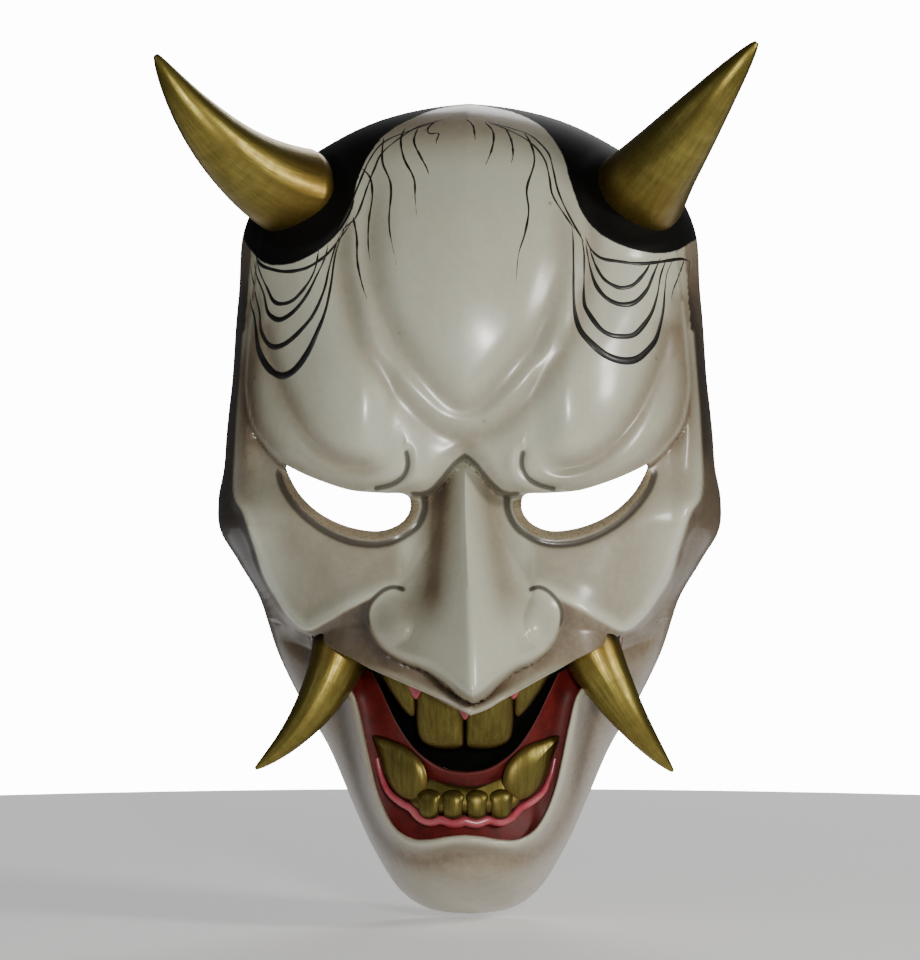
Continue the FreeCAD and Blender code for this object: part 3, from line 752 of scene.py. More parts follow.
def inner_half():
    """The hollow back: points, faces and loops."""
    columns, rows = INNER_GRID
    x, z, share = disc_places(np.linspace(-1.0, 1.0, columns + 1), np.linspace(-1.0, 1.0, rows + 1), RIM_WALL)
    mound, reach = HORN_MOUND
    depth = blurred(cavity_depth(x.ravel(), z.ravel(), share.ravel()).reshape(x.shape), 6)
    depth = depth - mound * hill(np.hypot(np.abs(x) - HORN_ROOT[0], z - HORN_ROOT[1]) / reach) * (share < 1.0)
    depth, x, z = depth.ravel(), x.ravel(), z.ravel()
    rim = perimeter(columns, rows, x, z)
    x, z, faces, loops = cut_all(x, z, grid_faces(columns, rows))
    depth = np.maximum(0.0, np.minimum(depth, outer_depth(x, z)[0] - LEAST_WALL))
    depth[share.ravel() >= 1.0] = 0.0
    return np.stack((x, depth, z), axis=1), faces, loops, rim


def inward(points, outline):
    """The direction into an opening at each point of its loop."""
    along = np.roll(points, -1, axis=0) - np.roll(points, 1, axis=0)
    across = np.stack((-along[:, 2], along[:, 0]), axis=1)
    across /= np.linalg.norm(across, axis=1)[:, None] + 1e-9
    area = (outline[:-1, 0] * outline[1:, 1] - outline[1:, 0] * outline[:-1, 1]).sum()
    if area < 0.0:
        across = -across
    return np.stack((across[:, 0], np.zeros(len(across)), across[:, 1]), axis=1)


def ring_quads(first, second):
    """Quads between two closed rings of point numbers of one length."""
    return np.stack((first, np.roll(first, -1), np.roll(second, -1), second), axis=1)


def face_mesh():
    """The whole face as one closed shell: points, faces, material numbers and paint masks."""
    front, front_faces, front_loops, front_rim, masks = outer_half()
    back, back_faces, back_loops, back_rim = inner_half()
    points, faces, slots = [front, back], [front_faces, back_faces + len(front) * (back_faces >= 0)], []
    slots += [np.zeros(len(front_faces)), np.ones(len(back_faces))]
    rim = zip_loops(front_rim[0], front_rim[1], back_rim[0] + len(front), back_rim[1])
    faces.append(rim)
    slots.append(np.ones(len(rim)))
    origin = list(range(len(front))) + [-1] * len(back)
    total = len(front) + len(back)
    for name, outline in OPENINGS.items():
        loop, shares = front_loops[name]
        across = inward(front[loop], outline)
        rings = [loop]
        for step_in, step_back in ((0.3, 0.35), (0.42, 1.1)):
            points.append(front[loop] + across * step_in - (0.0, step_back, 0.0))
            rings.append(np.arange(total, total + len(loop)))
            total += len(loop)
            origin += list(loop)
        wall = zip_loops(rings[-1], shares, back_loops[name][0] + len(front), back_loops[name][1])
        edges = np.vstack([ring_quads(a, b) for a, b in zip(rings, rings[1:])])
        faces += [edges, wall]
        slots += [np.zeros(len(edges)), np.full(len(wall), 2)]
    points, faces, slots = np.vstack(points), np.vstack(faces), np.concatenate(slots)
    origin = np.array(origin)
    used = np.unique(faces[faces >= 0])
    number = np.full(len(points), -1)
    number[used] = np.arange(len(used))
    faces = np.where(faces >= 0, number[faces], -1)
    masks = {key: np.where(origin >= 0, values[origin], 0.0)[used] for key, values in masks.items()}
    return points[used], faces, slots, masks


def paint_masks(x, z, gap):
    """The paint as masks over the front: brown shading, part of it painted shade for parts turned from the light, ink
    lines and the black cap of hair.
    """
    side = np.abs(x)
    cap = np.where(x > 0.0, side_of(through(HAIR_CAP["left"]), side, z), side_of(through(HAIR_CAP["right"]), side, z))
    lid = (3.0 - np.maximum(gap["eye"], 0.0)) * smooth((gap["brow"] - 1.5) / 1.0) * smooth((14.0 - z) / 4.0)
    return {"shade": shading(side, z, gap, x < 0.0), "ink": ink_lines(side, z, gap), "cap": cap, "lid": lid}


def shading(x, z, gap, shadow_side):
    """Brown brushed into the hollows, and darker towards the crown: 0 clean, 1 full, more than 1 almost black.
    The wearer's right side, and the jaw and chin, are made darker as painted shade for parts turned from the light: the
    last argument is 1 on the wearer's right and 0 on the left."""
    egg, brow, crest, mouth, wing = -gap["egg"], gap["brow"], gap["crest"], gap["mouth"], gap["wing"]
    above, under = smooth(0.5 - brow), smooth(brow / 1.5)
    off_nose = smooth((3.0 - gap["nose"]) / 6.0)
    shade = forehead_shading(x, z, egg, brow, gap["fold"]) * above
    outer = smooth((x - 46.0) / 14.0)
    shade += under * (0.30 + 0.25 * outer) * np.exp(-np.maximum(brow, 0.0) / 8.0)
    shade += 0.22 * outer * bump(brow / 3.2)
    # Brown on the nose's flanks, made darker on the wearer's right as painted shade.
    flank = bump((x - 7.5 - 0.10 * (10.0 - z)) / 5.0) * smooth((14.0 - z) / 8.0) * smooth((z + 46.0) / 20.0)
    shade += (0.80 + 0.45 * shadow_side) * flank * under
    ridge = np.exp(-np.abs(crest) / 2.2)
    cheek = under * smooth((crest + 1.0) / 5.0) * off_nose
    shade += 0.72 * cheek * (1.0 - 0.45 * smooth((x - 52.0) / 14.0))
    # Painted shade: the nose wing on the wearer's right made darker.
    shade += 0.40 * shadow_side * bump((x - 20.0) / 9.0) * bump((z + 40.0) / 12.0)
    # Brown on the jaw and chin below the cheek ridge, made heavy as painted shade for the lower face turned from the
    # light, and darker still on the wearer's right.
    beyond = np.maximum(-crest, 0.0)
    jaw = smooth(beyond / 1.5) * smooth((1.5 - gap["nose"]) / 3.0)
    shade += jaw * (0.50 * np.exp(-beyond / 18.0) + 0.80 + 0.25 * shadow_side * smooth((x - 14.0) / 16.0))
    # Brown on the temples, made darker on the wearer's right as painted shade.
    shade += (0.16 + 0.34 * shadow_side) * smooth((x - 64.0) / 10.0) * smooth((60.0 - z) / 20.0)
    shade += 1.05 * smooth((z - 106.0) / 22.0)
    shade += 0.35 * smooth((-24.0 - z) / 5.0) * np.exp(-np.abs(wing) / 3.0) * (mouth > -2.0)
    shade += 0.22 * smooth((wing - 1.0) / 3.0) * bump((wing - 5.0) / 5.0) * smooth((x - 12.0) / 8.0)
    shade += 0.30 * smooth((-54.0 - z) / 10.0) * bump((mouth - 6.8) / 4.2)
    shade -= 0.50 * smooth((-50.0 - z) / 8.0) * bump((mouth - 0.8) / 1.1)
    shade -= 0.45 * ridge * smooth((20.0 - z) / 14.0)
    return np.clip(shade, 0.0, 2.0)


def forehead_shading(x, z, egg, brow, fold):
    """Brown beside the ridge round the forehead, in the brow folds and along the brows."""
    low = smooth((118.0 - z) / 40.0)
    shade = low * (0.50 * bump((egg - 5.8) / 4.6) + 0.60 * bump((egg + 4.2) / 4.0) + 0.08)
    shade += 0.62 * bump((fold + 0.4) / 4.4) * smooth((x - 22.0) / 12.0) * smooth((74.0 - z) / 20.0)
    shade += 0.42 * bump((brow + 1.5) / 4.0)
    shade += 0.14 * bump((x - 66.0) / 9.0) * smooth((70.0 - z) / 20.0)
    return shade


def ink_lines(x, z, gap):
    """Thin dark lines in the deepest creases, as distance over half width: below 1 is inked."""
    lines = [np.abs(gap["brow"]) / 0.85 + 4.0 * smooth((x - 16.0) / 6.0),
             np.abs(gap["frown"]) / 0.85,
             np.abs(gap["lid"]) / 1.15 + 3.0 * smooth((z - 8.0) / 6.0),
             np.abs(gap["wing"]) / 0.7 + 3.0 * smooth((-37.0 - z) / 12.0)]
    return np.clip(np.min(lines, axis=0), 0.0, 4.0)


# ---- Horns, tusks and teeth ------------------------------------------------------------------------------
def swept(spine, wide, deep, up, sides=48):
    """A closed round bar along a run of points in millimetres, with half sizes across and towards up.
    Returns its points, faces, and directions for its brushed finish."""
    spine = np.asarray(spine, float)
    along = np.gradient(spine, axis=0)
    along /= np.linalg.norm(along, axis=1)[:, None]
    across = np.cross(along, up)
    across /= np.linalg.norm(across, axis=1)[:, None]
    rise = np.cross(across, along)
    turn = np.linspace(0.0, 2.0 * math.pi, sides, endpoint=False)
    wide, deep = np.broadcast_to(wide, len(spine)), np.broadcast_to(deep, len(spine))
    rings = (spine[:, None] + across[:, None] * (wide[:, None] * np.cos(turn))[:, :, None]
             + rise[:, None] * (deep[:, None] * np.sin(turn))[:, :, None])
    lengths = np.concatenate(([0.0], np.cumsum(np.linalg.norm(np.diff(spine, axis=0), axis=1))))
    flow = np.stack((np.broadcast_to(np.cos(turn), rings.shape[:2]), np.broadcast_to(np.sin(turn), rings.shape[:2]),
                     np.broadcast_to(lengths[:, None], rings.shape[:2])), axis=-1)
    count = len(spine)
    first = (np.arange(count - 1)[:, None] * sides + np.arange(sides)[None, :])
    after = (np.arange(count - 1)[:, None] * sides + np.roll(np.arange(sides), -1)[None, :])
    quads = np.stack((first, after, after + sides, first + sides), axis=-1).reshape(-1, 4)
    points = np.vstack((rings.reshape(-1, 3), spine[:1], spine[-1:]))
    flow = np.vstack((flow.reshape(-1, 3), (0.0, 0.0, 0.0), (0.0, 0.0, lengths[-1])))
    low, high = count * sides, count * sides + 1
    ring = np.arange(sides)
    start = np.stack((np.full(sides, low), np.roll(ring, -1), ring, np.full(sides, -1)), axis=1)
    last = ring + (count - 1) * sides
    end = np.stack((np.full(sides, high), last, np.roll(last, -1), np.full(sides, -1)), axis=1)
    return points, np.vstack((quads, start, end)), flow


def turned(parts, side):
    """A direction (outward, forward, upward) on one side of the face, as a unit vector of the frame."""
    vector = Vector((side * parts[0], -parts[1], parts[2]))
    return vector.normalized()


def frame_mm(x, depth, z):
    """One place of the drawing in the frame, in millimetres."""
    return Vector((x * SCALE_X, -float(depth), z * SCALE_Z))


def arc_spine(root, axis, toward, length, bend, stem, steps=96):
    """Centres along a straight stem and then an arc, with shares of the arc (negative on the stem)."""
    turn = (toward - axis * toward.dot(axis)).normalized()
    arc = length / math.radians(bend)
    shares = np.concatenate((np.linspace(-stem / length, 0.0, 8, endpoint=False), np.linspace(0.0, 1.0, steps)))
    places = []
    for share in shares:
        angle = math.radians(bend) * max(share, 0.0)
        straight = min(share, 0.0) * length
        places.append(root + axis * (arc * math.sin(angle) + straight) + turn * (arc * (1.0 - math.cos(angle))))
    return np.array(places), shares


ROOT_TAPER = 0.55                       # how far a root narrows towards its hidden end


def cone_sizes(shares, radius, tip, taper):
    root = 1.0 - ROOT_TAPER * (np.minimum(shares, 0.0) / shares[0]) ** 2
    return (tip + (radius - tip) * (1.0 - np.maximum(shares, 0.0)) ** taper) * root


def carved(points, sides, rings, depth, seed):
    """Slight flats and waves, as a knife leaves them, on the rings of a bar in millimetres."""
    turn = np.tile(np.linspace(0.0, 2.0 * math.pi, sides, endpoint=False), rings)
    place = np.repeat(np.linspace(0.0, 1.0, rings), sides)
    centres = np.repeat(points[:rings * sides].reshape(rings, sides, 3).mean(axis=1), sides, axis=0)
    wave = (np.sin(3.0 * turn + 4.0 * place + seed) + 0.6 * np.sin(5.0 * turn - 7.0 * place + 2.0 * seed)
            + 0.5 * np.sin(13.0 * place + 2.0 * turn + seed))
    points = points.copy()
    points[:rings * sides] += (points[:rings * sides] - centres) * (depth * wave)[:, None]
    return points


def cone_piece(name, spine, shares, sizes, up, bands, seed):
    """A horn or a tusk as an object, with masks of where it starts."""
    points, faces, flow = swept(spine, sizes, sizes, up)
    points = carved(points, 48, len(spine), 0.012, seed)
    start = np.concatenate((np.repeat(shares, 48), shares[:1], shares[-1:]))
    return make_object(name, points * MM, faces, {"flow": flow, "start": start * bands})


def make_horn(name, settings):
    """One horn with its root sunk into the face."""
    side = SIDES[name.split("_")[0]]
    axis, toward = (turned(parts, side) for parts in HORNS[name])
    x, z = HORN_ROOT
    depth = outer_depth(np.array([x]), np.array([z]))[0][0]
    spine, shares = arc_spine(frame_mm(side * x, depth, z), axis, toward, HORN_LENGTH, HORN_BEND, settings.horn_root)
    sizes = cone_sizes(shares, HORN_RADIUS, HORN_TIP, HORN_TAPER)
    return cone_piece(name, spine, shares, sizes, (0.0, 1.0, 0.0), HORN_LENGTH, side)


def make_tusk(name):
    """One tusk, from behind the upper lip."""
    side = SIDES[name.split("_")[0]]
    axis, toward = (turned(parts, side) for parts in TUSKS[name])
    x, z = TUSK_ROOT
    depth = outer_depth(np.array([x]), np.array([z]))[0][0] - WALL - 0.9 * TUSK_RADIUS
    spine, shares = arc_spine(frame_mm(side * x, depth, z), axis, toward, TUSK_LENGTH, TUSK_BEND, 3.0)
    sizes = cone_sizes(shares, TUSK_RADIUS, TUSK_TIP, TUSK_TAPER)
    return cone_piece(name, spine, shares, sizes, (0.0, 1.0, 0.0), TUSK_LENGTH, side + 2.0)


PLAQUE_RINGS = (1.0, 0.995, 0.98, 0.95, 0.9, 0.83, 0.74, 0.63, 0.5, 0.35, 0.18)


def plaque(name, outline, depth_at, bulge, thickness, power=3.0, sharp=None):
    """A pillow over a rounded outline, closed behind, with at most one corner left sharp."""
    if sharp is None:
        run = through(outline, 8, closed=True)
    else:
        run = through(outline[sharp:] + outline[:sharp + 1], 8)[:-1]
    centre = run.mean(axis=0)
    rings = [centre + (run - centre) * share for share in PLAQUE_RINGS]
    rise = [bulge * (1.0 - share ** power) ** 0.5 for share in PLAQUE_RINGS]
    points = []
    for ring, up in zip(rings, rise):
        points.append(np.stack((ring[:, 0], depth_at(ring[:, 0], ring[:, 1]) + up, ring[:, 1]), axis=1))
    back = points[0] - (0.0, thickness, 0.0)
    middle_depth = depth_at(centre[:1], centre[1:])[0]
    centres = [(centre[0], middle_depth + bulge, centre[1]), (centre[0], middle_depth - thickness, centre[1])]
    count = len(run)
    rows = [back] + points
    faces = [ring_quads(np.arange(count) + k * count, np.arange(count) + (k + 1) * count)
             for k in range(len(rows) - 1)]
    total = count * len(rows)
    ring = np.arange(count)
    last = ring + (len(rows) - 1) * count
    faces.append(np.stack((np.full(count, total), last, np.roll(last, -1), np.full(count, -1)), axis=1))
    faces.append(np.stack((np.full(count, total + 1), np.roll(ring, -1), ring, np.full(count, -1)), axis=1))
    everything = np.vstack(rows + [centres])
    rim = np.concatenate([np.full(count, 0.0)] + [np.full(count, 1.0 - share) for share in PLAQUE_RINGS] + [[1.0, 0.0]])
    flow = np.stack((everything[:, 0], everything[:, 1], everything[:, 2] * 0.25), axis=1)
    thing = make_object(name, placed(*everything.T), np.vstack(faces), {"flow": flow * 0.12, "start": rim * 20.0})
    tidy_normals(thing)
    return thing


UPPER_INCISOR = [(0.1, -62), (0.1, -72), (0.15, -77.5), (1.2, -79.8), (6, -80.4), (11, -79.6), (14.4, -77.4),
                 (15.7, -73), (15.9, -66), (15.5, -58), (8, -59)]
UPPER_SIDE_TOOTH = [(15.7, -57), (15.7, -64), (15.8, -68.6), (17.2, -70), (20, -67.6), (23, -63.4), (25.2, -60),
                    (27, -56), (25, -52), (20, -52.5)]
LOWER_LOBE = [(0.05, -94.5), (0, -98.6), (0.8, -101.6), (2.6, -102.9), (5.1, -102.9), (6.9, -101.6), (7.7, -98.6),
              (7.6, -94.5), (3.8, -93)]
FANG_LEAF = [(31.8, -75.4), (25.3, -77.4), (18.9, -79.6), (14, -84.2), (12, -89), (12.4, -94), (15.6, -97.2),
             (20.3, -96.4), (24.1, -93.2), (26.9, -87.8), (28.8, -82)]
FANG_EDGES = (0.18, 3.0)                # how far its point narrows and how much the leaf rises
SHELF = [(0, -92.2), (6, -91.8), (11, -90.4), (15, -88.6), (18, -91), (18.6, -96), (15.4, -100), (8, -101), (0, -101)]
PAPILLAE = ([(-3.2, -64), (3.2, -64), (2.2, -67.4), (0.2, -70.6), (-1.8, -67.8)],
            [(12.2, -57.5), (18.8, -55.5), (18.4, -59.6), (15.9, -64), (13.8, -61.5)])


def upper_tooth_depth(x, z):
    return 62.5 - 0.010 * x * x + 0.22 * (z + 72.0)


def lower_tooth_depth(x, z):
    return 61.4 - 0.013 * x * x + 0.0 * z


def shelf_depth(x, z):
    return 59.8 - 0.013 * x * x + 0.30 * np.minimum(-(z + 92.0), 6.0)


def tooth_piece(name, outline, side, depth_at, bulge, shift=0.0):
    """One tooth on one side, shifted along x."""
    points = [((x + shift) * side, z) for x, z in outline]
    return plaque(name, points, depth_at, bulge, 5.0)


def fang_depth(x, z):
    """Depth of a lower fang's leaf, falling off away from the middle of the face."""
    return 60.8 - 0.012 * x * x + 0.0 * z


def make_fang(name, side):
    """A lower fang: a broad leaf that comes to a point."""
    points = [(x * side, z) for x, z in FANG_LEAF]
    return plaque(name, points, fang_depth, FANG_EDGES[1], 6.0, 2.0, sharp=0)


# ---- The mouth --------------------------------------------------------------------------------------------
LINING_STEPS = (0.0, 0.04, 0.1, 0.2, 0.32, 0.46, 0.6, 0.74, 0.87, 0.96, 1.0)


def resampled(run, count):
    """A run of points with even spacing."""
    lengths = np.concatenate(([0.0], np.cumsum(np.hypot(*np.diff(run, axis=0).T))))
    at = np.linspace(0.0, lengths[-1], count)
    return np.stack((np.interp(at, lengths, run[:, 0]), np.interp(at, lengths, run[:, 1])), axis=1)


def both_halves(half):
    """A run from the middle to the corner, and its mirror, as one run from corner to corner."""
    mirror = half * (-1.0, 1.0)
    return np.vstack((mirror[::-1], half[1:]))


def lining_sheet():
    """The red lining between the lower lip and the dark gap, closed behind by its thickness."""
    outer = both_halves(resampled(through(LOWER_LIP)[::-1], 90))
    inner = both_halves(resampled(through(GAP_EDGE)[::-1], 90))
    lip = outer_depth(outer[:, 0], outer[:, 1])[0] - 4.2
    deep = cavity_depth(inner[:, 0], inner[:, 1]) - 1.5
    rows = []
    for t in LINING_STEPS:
        place = outer * 1.02 * (1.0 - t) + inner * t
        sink = lip * (1.0 - t) + deep * t - 3.2 * math.sin(math.pi * t) * np.ones(len(outer))
        rows.append(np.stack((place[:, 0], sink, place[:, 1]), axis=1))
    lip_in = rows[-1] + (0.0, -6.0, 0.0) + np.stack((inner[:, 0] * 0.02, inner[:, 0] * 0.0, -inner[:, 1] * 0.0), axis=1)
    rows.append(lip_in)
    return rows


def sheet_object(name, rows, thickness):
    """A sheet of rows of points, thickened backwards, as one closed object."""
    count = len(rows[0])
    front = np.vstack(rows)
    back = front - (0.0, thickness, 0.0)
    i, j = np.meshgrid(np.arange(len(rows) - 1), np.arange(count - 1), indexing="ij")
    a = (i * count + j).ravel()
    quads = np.stack((a, a + 1, a + count + 1, a + count), axis=1)
    edge = np.concatenate((np.arange(count), np.arange(1, len(rows)) * count + count - 1,
                           (len(rows) - 1) * count + np.arange(count - 2, -1, -1),
                           np.arange(len(rows) - 2, 0, -1) * count))
    total = len(front)
    sides = ring_quads(edge, edge + total)
    across = np.concatenate([np.full(count, k / (len(rows) - 1.0)) for k in range(len(rows))])
    thing = make_object(name, placed(*np.vstack((front, back)).T), np.vstack((quads, quads + total, sides)),
                        {"across": np.concatenate((across, across))})
    tidy_normals(thing)
    return thing


def make_lining():
    return sheet_object("mouth_lining", lining_sheet(), 1.8)


def make_backing():
    """The black plate at the back of the mouth."""
    top = both_halves(resampled(through(UPPER_LIP[1:])[::-1], 60)) * (0.94, 1.0) + (0.0, 4.0)
    low = both_halves(resampled(through(GAP_EDGE)[::-1], 60)) * (1.12, 1.0) - (0.0, 4.0)
    rows = []
    for t in np.linspace(0.0, 1.0, 14):
        place = top * (1.0 - t) + low * t
        depth = cavity_depth(place[:, 0], place[:, 1]) - 8.5
        rows.append(np.stack((place[:, 0], depth, place[:, 1]), axis=1))
    return sheet_object("mouth_backing", rows, 1.5)


def make_upper_gum():
    """The gum along the upper lip, from which the upper teeth grow."""
    lip = both_halves(resampled(through(UPPER_LIP[1:])[::-1], 60))
    rows = []
    for drop in (-2.6, -1.6, 0.0, 3.0, 7.0, 11.0):
        place = lip * (1.0, 1.0) + (0.0, drop)
        depth = np.minimum(cavity_depth(place[:, 0], place[:, 1]) - 0.6, outer_depth(place[:, 0], place[:, 1])[0] - 4.0)
        depth = np.minimum(depth, upper_tooth_depth(place[:, 0], place[:, 1]) + 1.0)
        rows.append(np.stack((place[:, 0], depth - 1.2 * (drop < -2.0), place[:, 1]), axis=1))
    return sheet_object("upper_gum", rows, 6.0)


def gum_points():
    """Outlines of the three pink points of gum between the upper teeth."""
    middle, beside = PAPILLAE
    return {"gum_point_middle": middle, "gum_point_left": beside,
            "gum_point_right": [(-x, z) for x, z in beside]}


def papilla_depth(x, z):
    return upper_tooth_depth(x, z) + 2.9


# ---- Brushed lines ------------------------------------------------------------------------------------------
def brush_line_group():
    """A node group that turns runs of points into flat strokes lying on the surface."""
    tree = bpy.data.node_groups.new("brush_line", "GeometryNodeTree")
    for key, kind in (("Geometry", "NodeSocketGeometry"), ("Flatness", "NodeSocketFloat"),
                      ("Width", "NodeSocketFloat"), ("Sides", "NodeSocketInt"), ("Material", "NodeSocketMaterial")):
        tree.interface.new_socket(key, in_out="INPUT", socket_type=kind)
    tree.interface.new_socket("Geometry", in_out="OUTPUT", socket_type="NodeSocketGeometry")
    w = Wiring(tree)
    given = w.add("NodeGroupInput").outputs
    curve = w.add("GeometryNodeMeshToCurve", {"Mesh": given["Geometry"]}).outputs[0]
    up = w.add("GeometryNodeInputNamedAttribute", {"Name": "up"}, data_type="FLOAT_VECTOR").outputs[0]
    curve = w.add("GeometryNodeSetCurveNormal", {"Curve": curve, "Normal": up}, mode="FREE").outputs[0]
    round_profile = w.add("GeometryNodeCurvePrimitiveCircle", {"Resolution": given["Sides"], "Radius": MM})
    scale = w.add("ShaderNodeCombineXYZ", {0: given["Flatness"], 1: 1.0, 2: 1.0}).outputs[0]
    profile = w.add("GeometryNodeTransform", {"Geometry": round_profile.outputs[0], "Scale": scale}).outputs[0]
    half = w.add("GeometryNodeInputNamedAttribute", {"Name": "half_width"}, data_type="FLOAT").outputs[0]
    wide = w.math("MULTIPLY", half, given["Width"])
    made = w.add("GeometryNodeCurveToMesh", {"Curve": curve, "Profile Curve": profile, "Scale": wide,
                                             "Fill Caps": True}).outputs[0]
    made = w.add("GeometryNodeRealizeInstances", {"Geometry": made}).outputs[0]
    made = w.add("GeometryNodeSetMaterial", {"Geometry": made, "Material": given["Material"]}).outputs[0]
    leave = w.add("NodeGroupOutput")
    tree.links.new(made, leave.inputs[0])
    return tree


def surface_up(x, z, side_step=0.6):
    """Unit normals of the carved front at places, in the frame."""
    here = outer_depth(x, z)[0]
    slope_x = (outer_depth(x + side_step, z)[0] - outer_depth(x - side_step, z)[0]) / (2.0 * side_step)
    slope_z = (outer_depth(x, z + side_step)[0] - outer_depth(x, z - side_step)[0]) / (2.0 * side_step)
    normal = np.stack((-slope_x, -np.ones(len(x)), -slope_z), axis=1)
    return here, normal / np.linalg.norm(normal, axis=1)[:, None]


def strokes_object(name, runs, material, flatness, sides):
    """Strokes laid on points: runs is a list of (points in mm in the frame, normals, half widths)."""
    points = np.vstack([run[0] for run in runs])
    edges, start = [], 0
    for run in runs:
        count = len(run[0])
        edges += [(start + k, start + k + 1) for k in range(count - 1)]
        start += count
    mesh = bpy.data.meshes.new(name)
    mesh.from_pydata([tuple(p) for p in points * MM], edges, [])
    up = mesh.attributes.new("up", "FLOAT_VECTOR", "POINT")
    up.data.foreach_set("vector", np.vstack([run[1] for run in runs]).astype(np.float32).ravel())
    half = mesh.attributes.new("half_width", "FLOAT", "POINT")
    half.data.foreach_set("value", np.concatenate([run[2] for run in runs]).astype(np.float32))
    thing = bpy.data.objects.new(name, mesh)
    bpy.context.scene.collection.objects.link(thing)
    tree = bpy.data.node_groups.get("brush_line") or brush_line_group()
    modifier = thing.modifiers.new("brush_line", "NODES")
    modifier.node_group = tree
    sockets = {item.name: item.identifier for item in tree.interface.items_tree if item.in_out == "INPUT"}
    for key, value in (("Flatness", flatness), ("Width", 1.0), ("Sides", sides), ("Material", material)):
        modifier[sockets[key]] = value
    bake_modifiers(thing)
    tidy_normals(thing)
    return thing


# ---- Hair strokes: places in millimetres on the drawn face, x < 0 on the wearer's right ----------------
WISPS = [
    [(-36.7, 92), (-35.3, 85), (-35, 77.4), (-33.2, 69.3), (-31.2, 64)],
    [(-34.7, 109), (-31.5, 105.3), (-30.6, 98.9), (-31.5, 90.8), (-31.5, 82.1), (-30, 72.8)],
    [(-27.7, 119.8), (-27.7, 111), (-24.5, 102.4), (-24.8, 90.8), (-23.9, 83.9), (-21.9, 75.7)],
    [(-20.5, 123.3), (-21.9, 118.6), (-20.5, 111.7), (-17, 104.7), (-16.4, 97.7), (-15.6, 91)],
    [(-16.4, 122.7), (-17.5, 118), (-15.3, 112.8), (-12.9, 108.2), (-11.4, 103.6)],
    [(-10, 125.6), (-13, 122.7), (-12.3, 120.6), (-9.4, 120.6), (-10, 118), (-10.1, 115.2)],
    [(-0.4, 125.9), (1.9, 123.3), (2.8, 117.5)],
    [(5.7, 125), (8.6, 120.9), (8.3, 115.1), (5.9, 108.2)],
    [(12.6, 122.7), (14.6, 118), (15.2, 112.8), (14.3, 109)],
    [(18.4, 121.6), (21, 116.9), (22.2, 110.5), (19.8, 101.2), (20.5, 93.7), (19.3, 86), (17.2, 78.6), (16.4, 67)],
    [(71.5, 79.1), (69.7, 73.8), (67.3, 67.5), (67.3, 62.6)],
    [(73.3, 78.8), (72.9, 71.7)]]
CAP_LINES = [
    [(-7.2, 126.2), (-18.7, 122), (-27.4, 118), (-32, 111.7), (-35.5, 102.4), (-38.4, 94.3), (-41.9, 87.4)],
    [(-9.4, 125.6), (-17.5, 122.7), (-27.4, 114.6), (-30.3, 108.2), (-32.3, 102.4), (-35.5, 92.5), (-39.6, 88.4),
     (-41.9, 85)],
    [(6.2, 125), (16.1, 122.1), (21.3, 119.8), (26.6, 114), (28.3, 108.2), (30, 100.6), (33.5, 92.5), (39.3, 82)],
    [(4.5, 125.6), (13.2, 122.1), (20.8, 117.5), (25.4, 111.7), (27.1, 105.3), (28.3, 98.9), (33, 91.3), (35.8, 87.3)]]
LOOPS = [
    [(-70.7, 82.3), (-67.9, 77.4), (-63, 75.2), (-58, 74.4), (-52.4, 75.2), (-48.2, 77.4), (-44.7, 80.2),
     (-40.4, 85.8), (-36.9, 90.7)],
    [(-70, 80.9), (-67.9, 74.5), (-65.1, 68.9), (-63, 65), (-60.1, 63.8), (-55.9, 65), (-51.7, 69.6), (-48.9, 75.2),
     (-47.8, 82.3)],
    [(-71.1, 80.9), (-69.3, 73.8), (-66.5, 67.5), (-65.1, 61.8), (-63, 59.4), (-60.1, 58.7), (-55.9, 61.1),
     (-51.7, 66.1), (-48.2, 73.1), (-45.7, 78.8), (-44.6, 84.4)],
    [(-71.8, 81.6), (-71.4, 75.2), (-69.3, 66.1), (-67.9, 61.1), (-67.3, 55.3), (-64.7, 50.8), (-61.4, 49.8),
     (-57.5, 51.4), (-53, 55.3), (-48.9, 60.4), (-45.7, 68.2), (-44.3, 75.2), (-42.2, 83), (-39.7, 89.3)],
    [(-72.1, 71.7), (-71.8, 65.4), (-70, 60.4), (-69.2, 55.3), (-68.1, 49.1), (-65.3, 43.9), (-61.9, 41),
     (-58.5, 40.4), (-54.6, 42.7), (-50.7, 48), (-47.3, 55.3), (-45, 61.8), (-43.6, 69.6), (-42.5, 78.8),
     (-40.8, 85.1), (-37.6, 92.9)],
    [(38.4, 86.5), (40.5, 81.6), (44, 78.4), (49.7, 77.4), (56, 76.8), (61.6, 77.4), (66.6, 78.4), (70.8, 79.3),
     (74.3, 78.4)],
    [(39.8, 83), (41.9, 76.6), (44.7, 71.7), (48.2, 69.3), (51.1, 68.7), (54.6, 69.9), (58.1, 73.8), (60.2, 77.4),
     (61.6, 79.1)],
    [(38.7, 85.1), (40.1, 76.6), (41.9, 70.3), (44.7, 66.1), (48.2, 63.8), (51.8, 63.2), (55.3, 64.3), (58.8, 68.2),
     (60.9, 73.1), (63, 78.1), (64.4, 80.5)],
    [(37, 87.9), (38.4, 80.2), (38.4, 71.7), (38.4, 64), (39.8, 60.4), (43.5, 55.3), (47, 53.2), (50.5, 52.8),
     (54, 53.2), (56.6, 55.3), (60.2, 60.4), (62.3, 66.8), (63.4, 73.1), (65.2, 78.1), (66.9, 81.2)],
    [(33.8, 91.4), (34.8, 85.8), (35, 75.2), (35.2, 62.6), (36.9, 55.3), (40.6, 50.6), (44.7, 47.1), (48.8, 45.3),
     (52.8, 44.9), (56.2, 46), (59.8, 49.4), (62.1, 53), (64.1, 61.1), (64.8, 68.2), (65.5, 73.8), (67.3, 78.1),
     (69, 81.9)]]
LOOP_SWELL = (0.25, 0.35, 0.5, 0.55, 0.9) * 2       # extra half width at the bottom of each loop
STROKE_HALF = 0.36
STROKE_SINK = 0.04


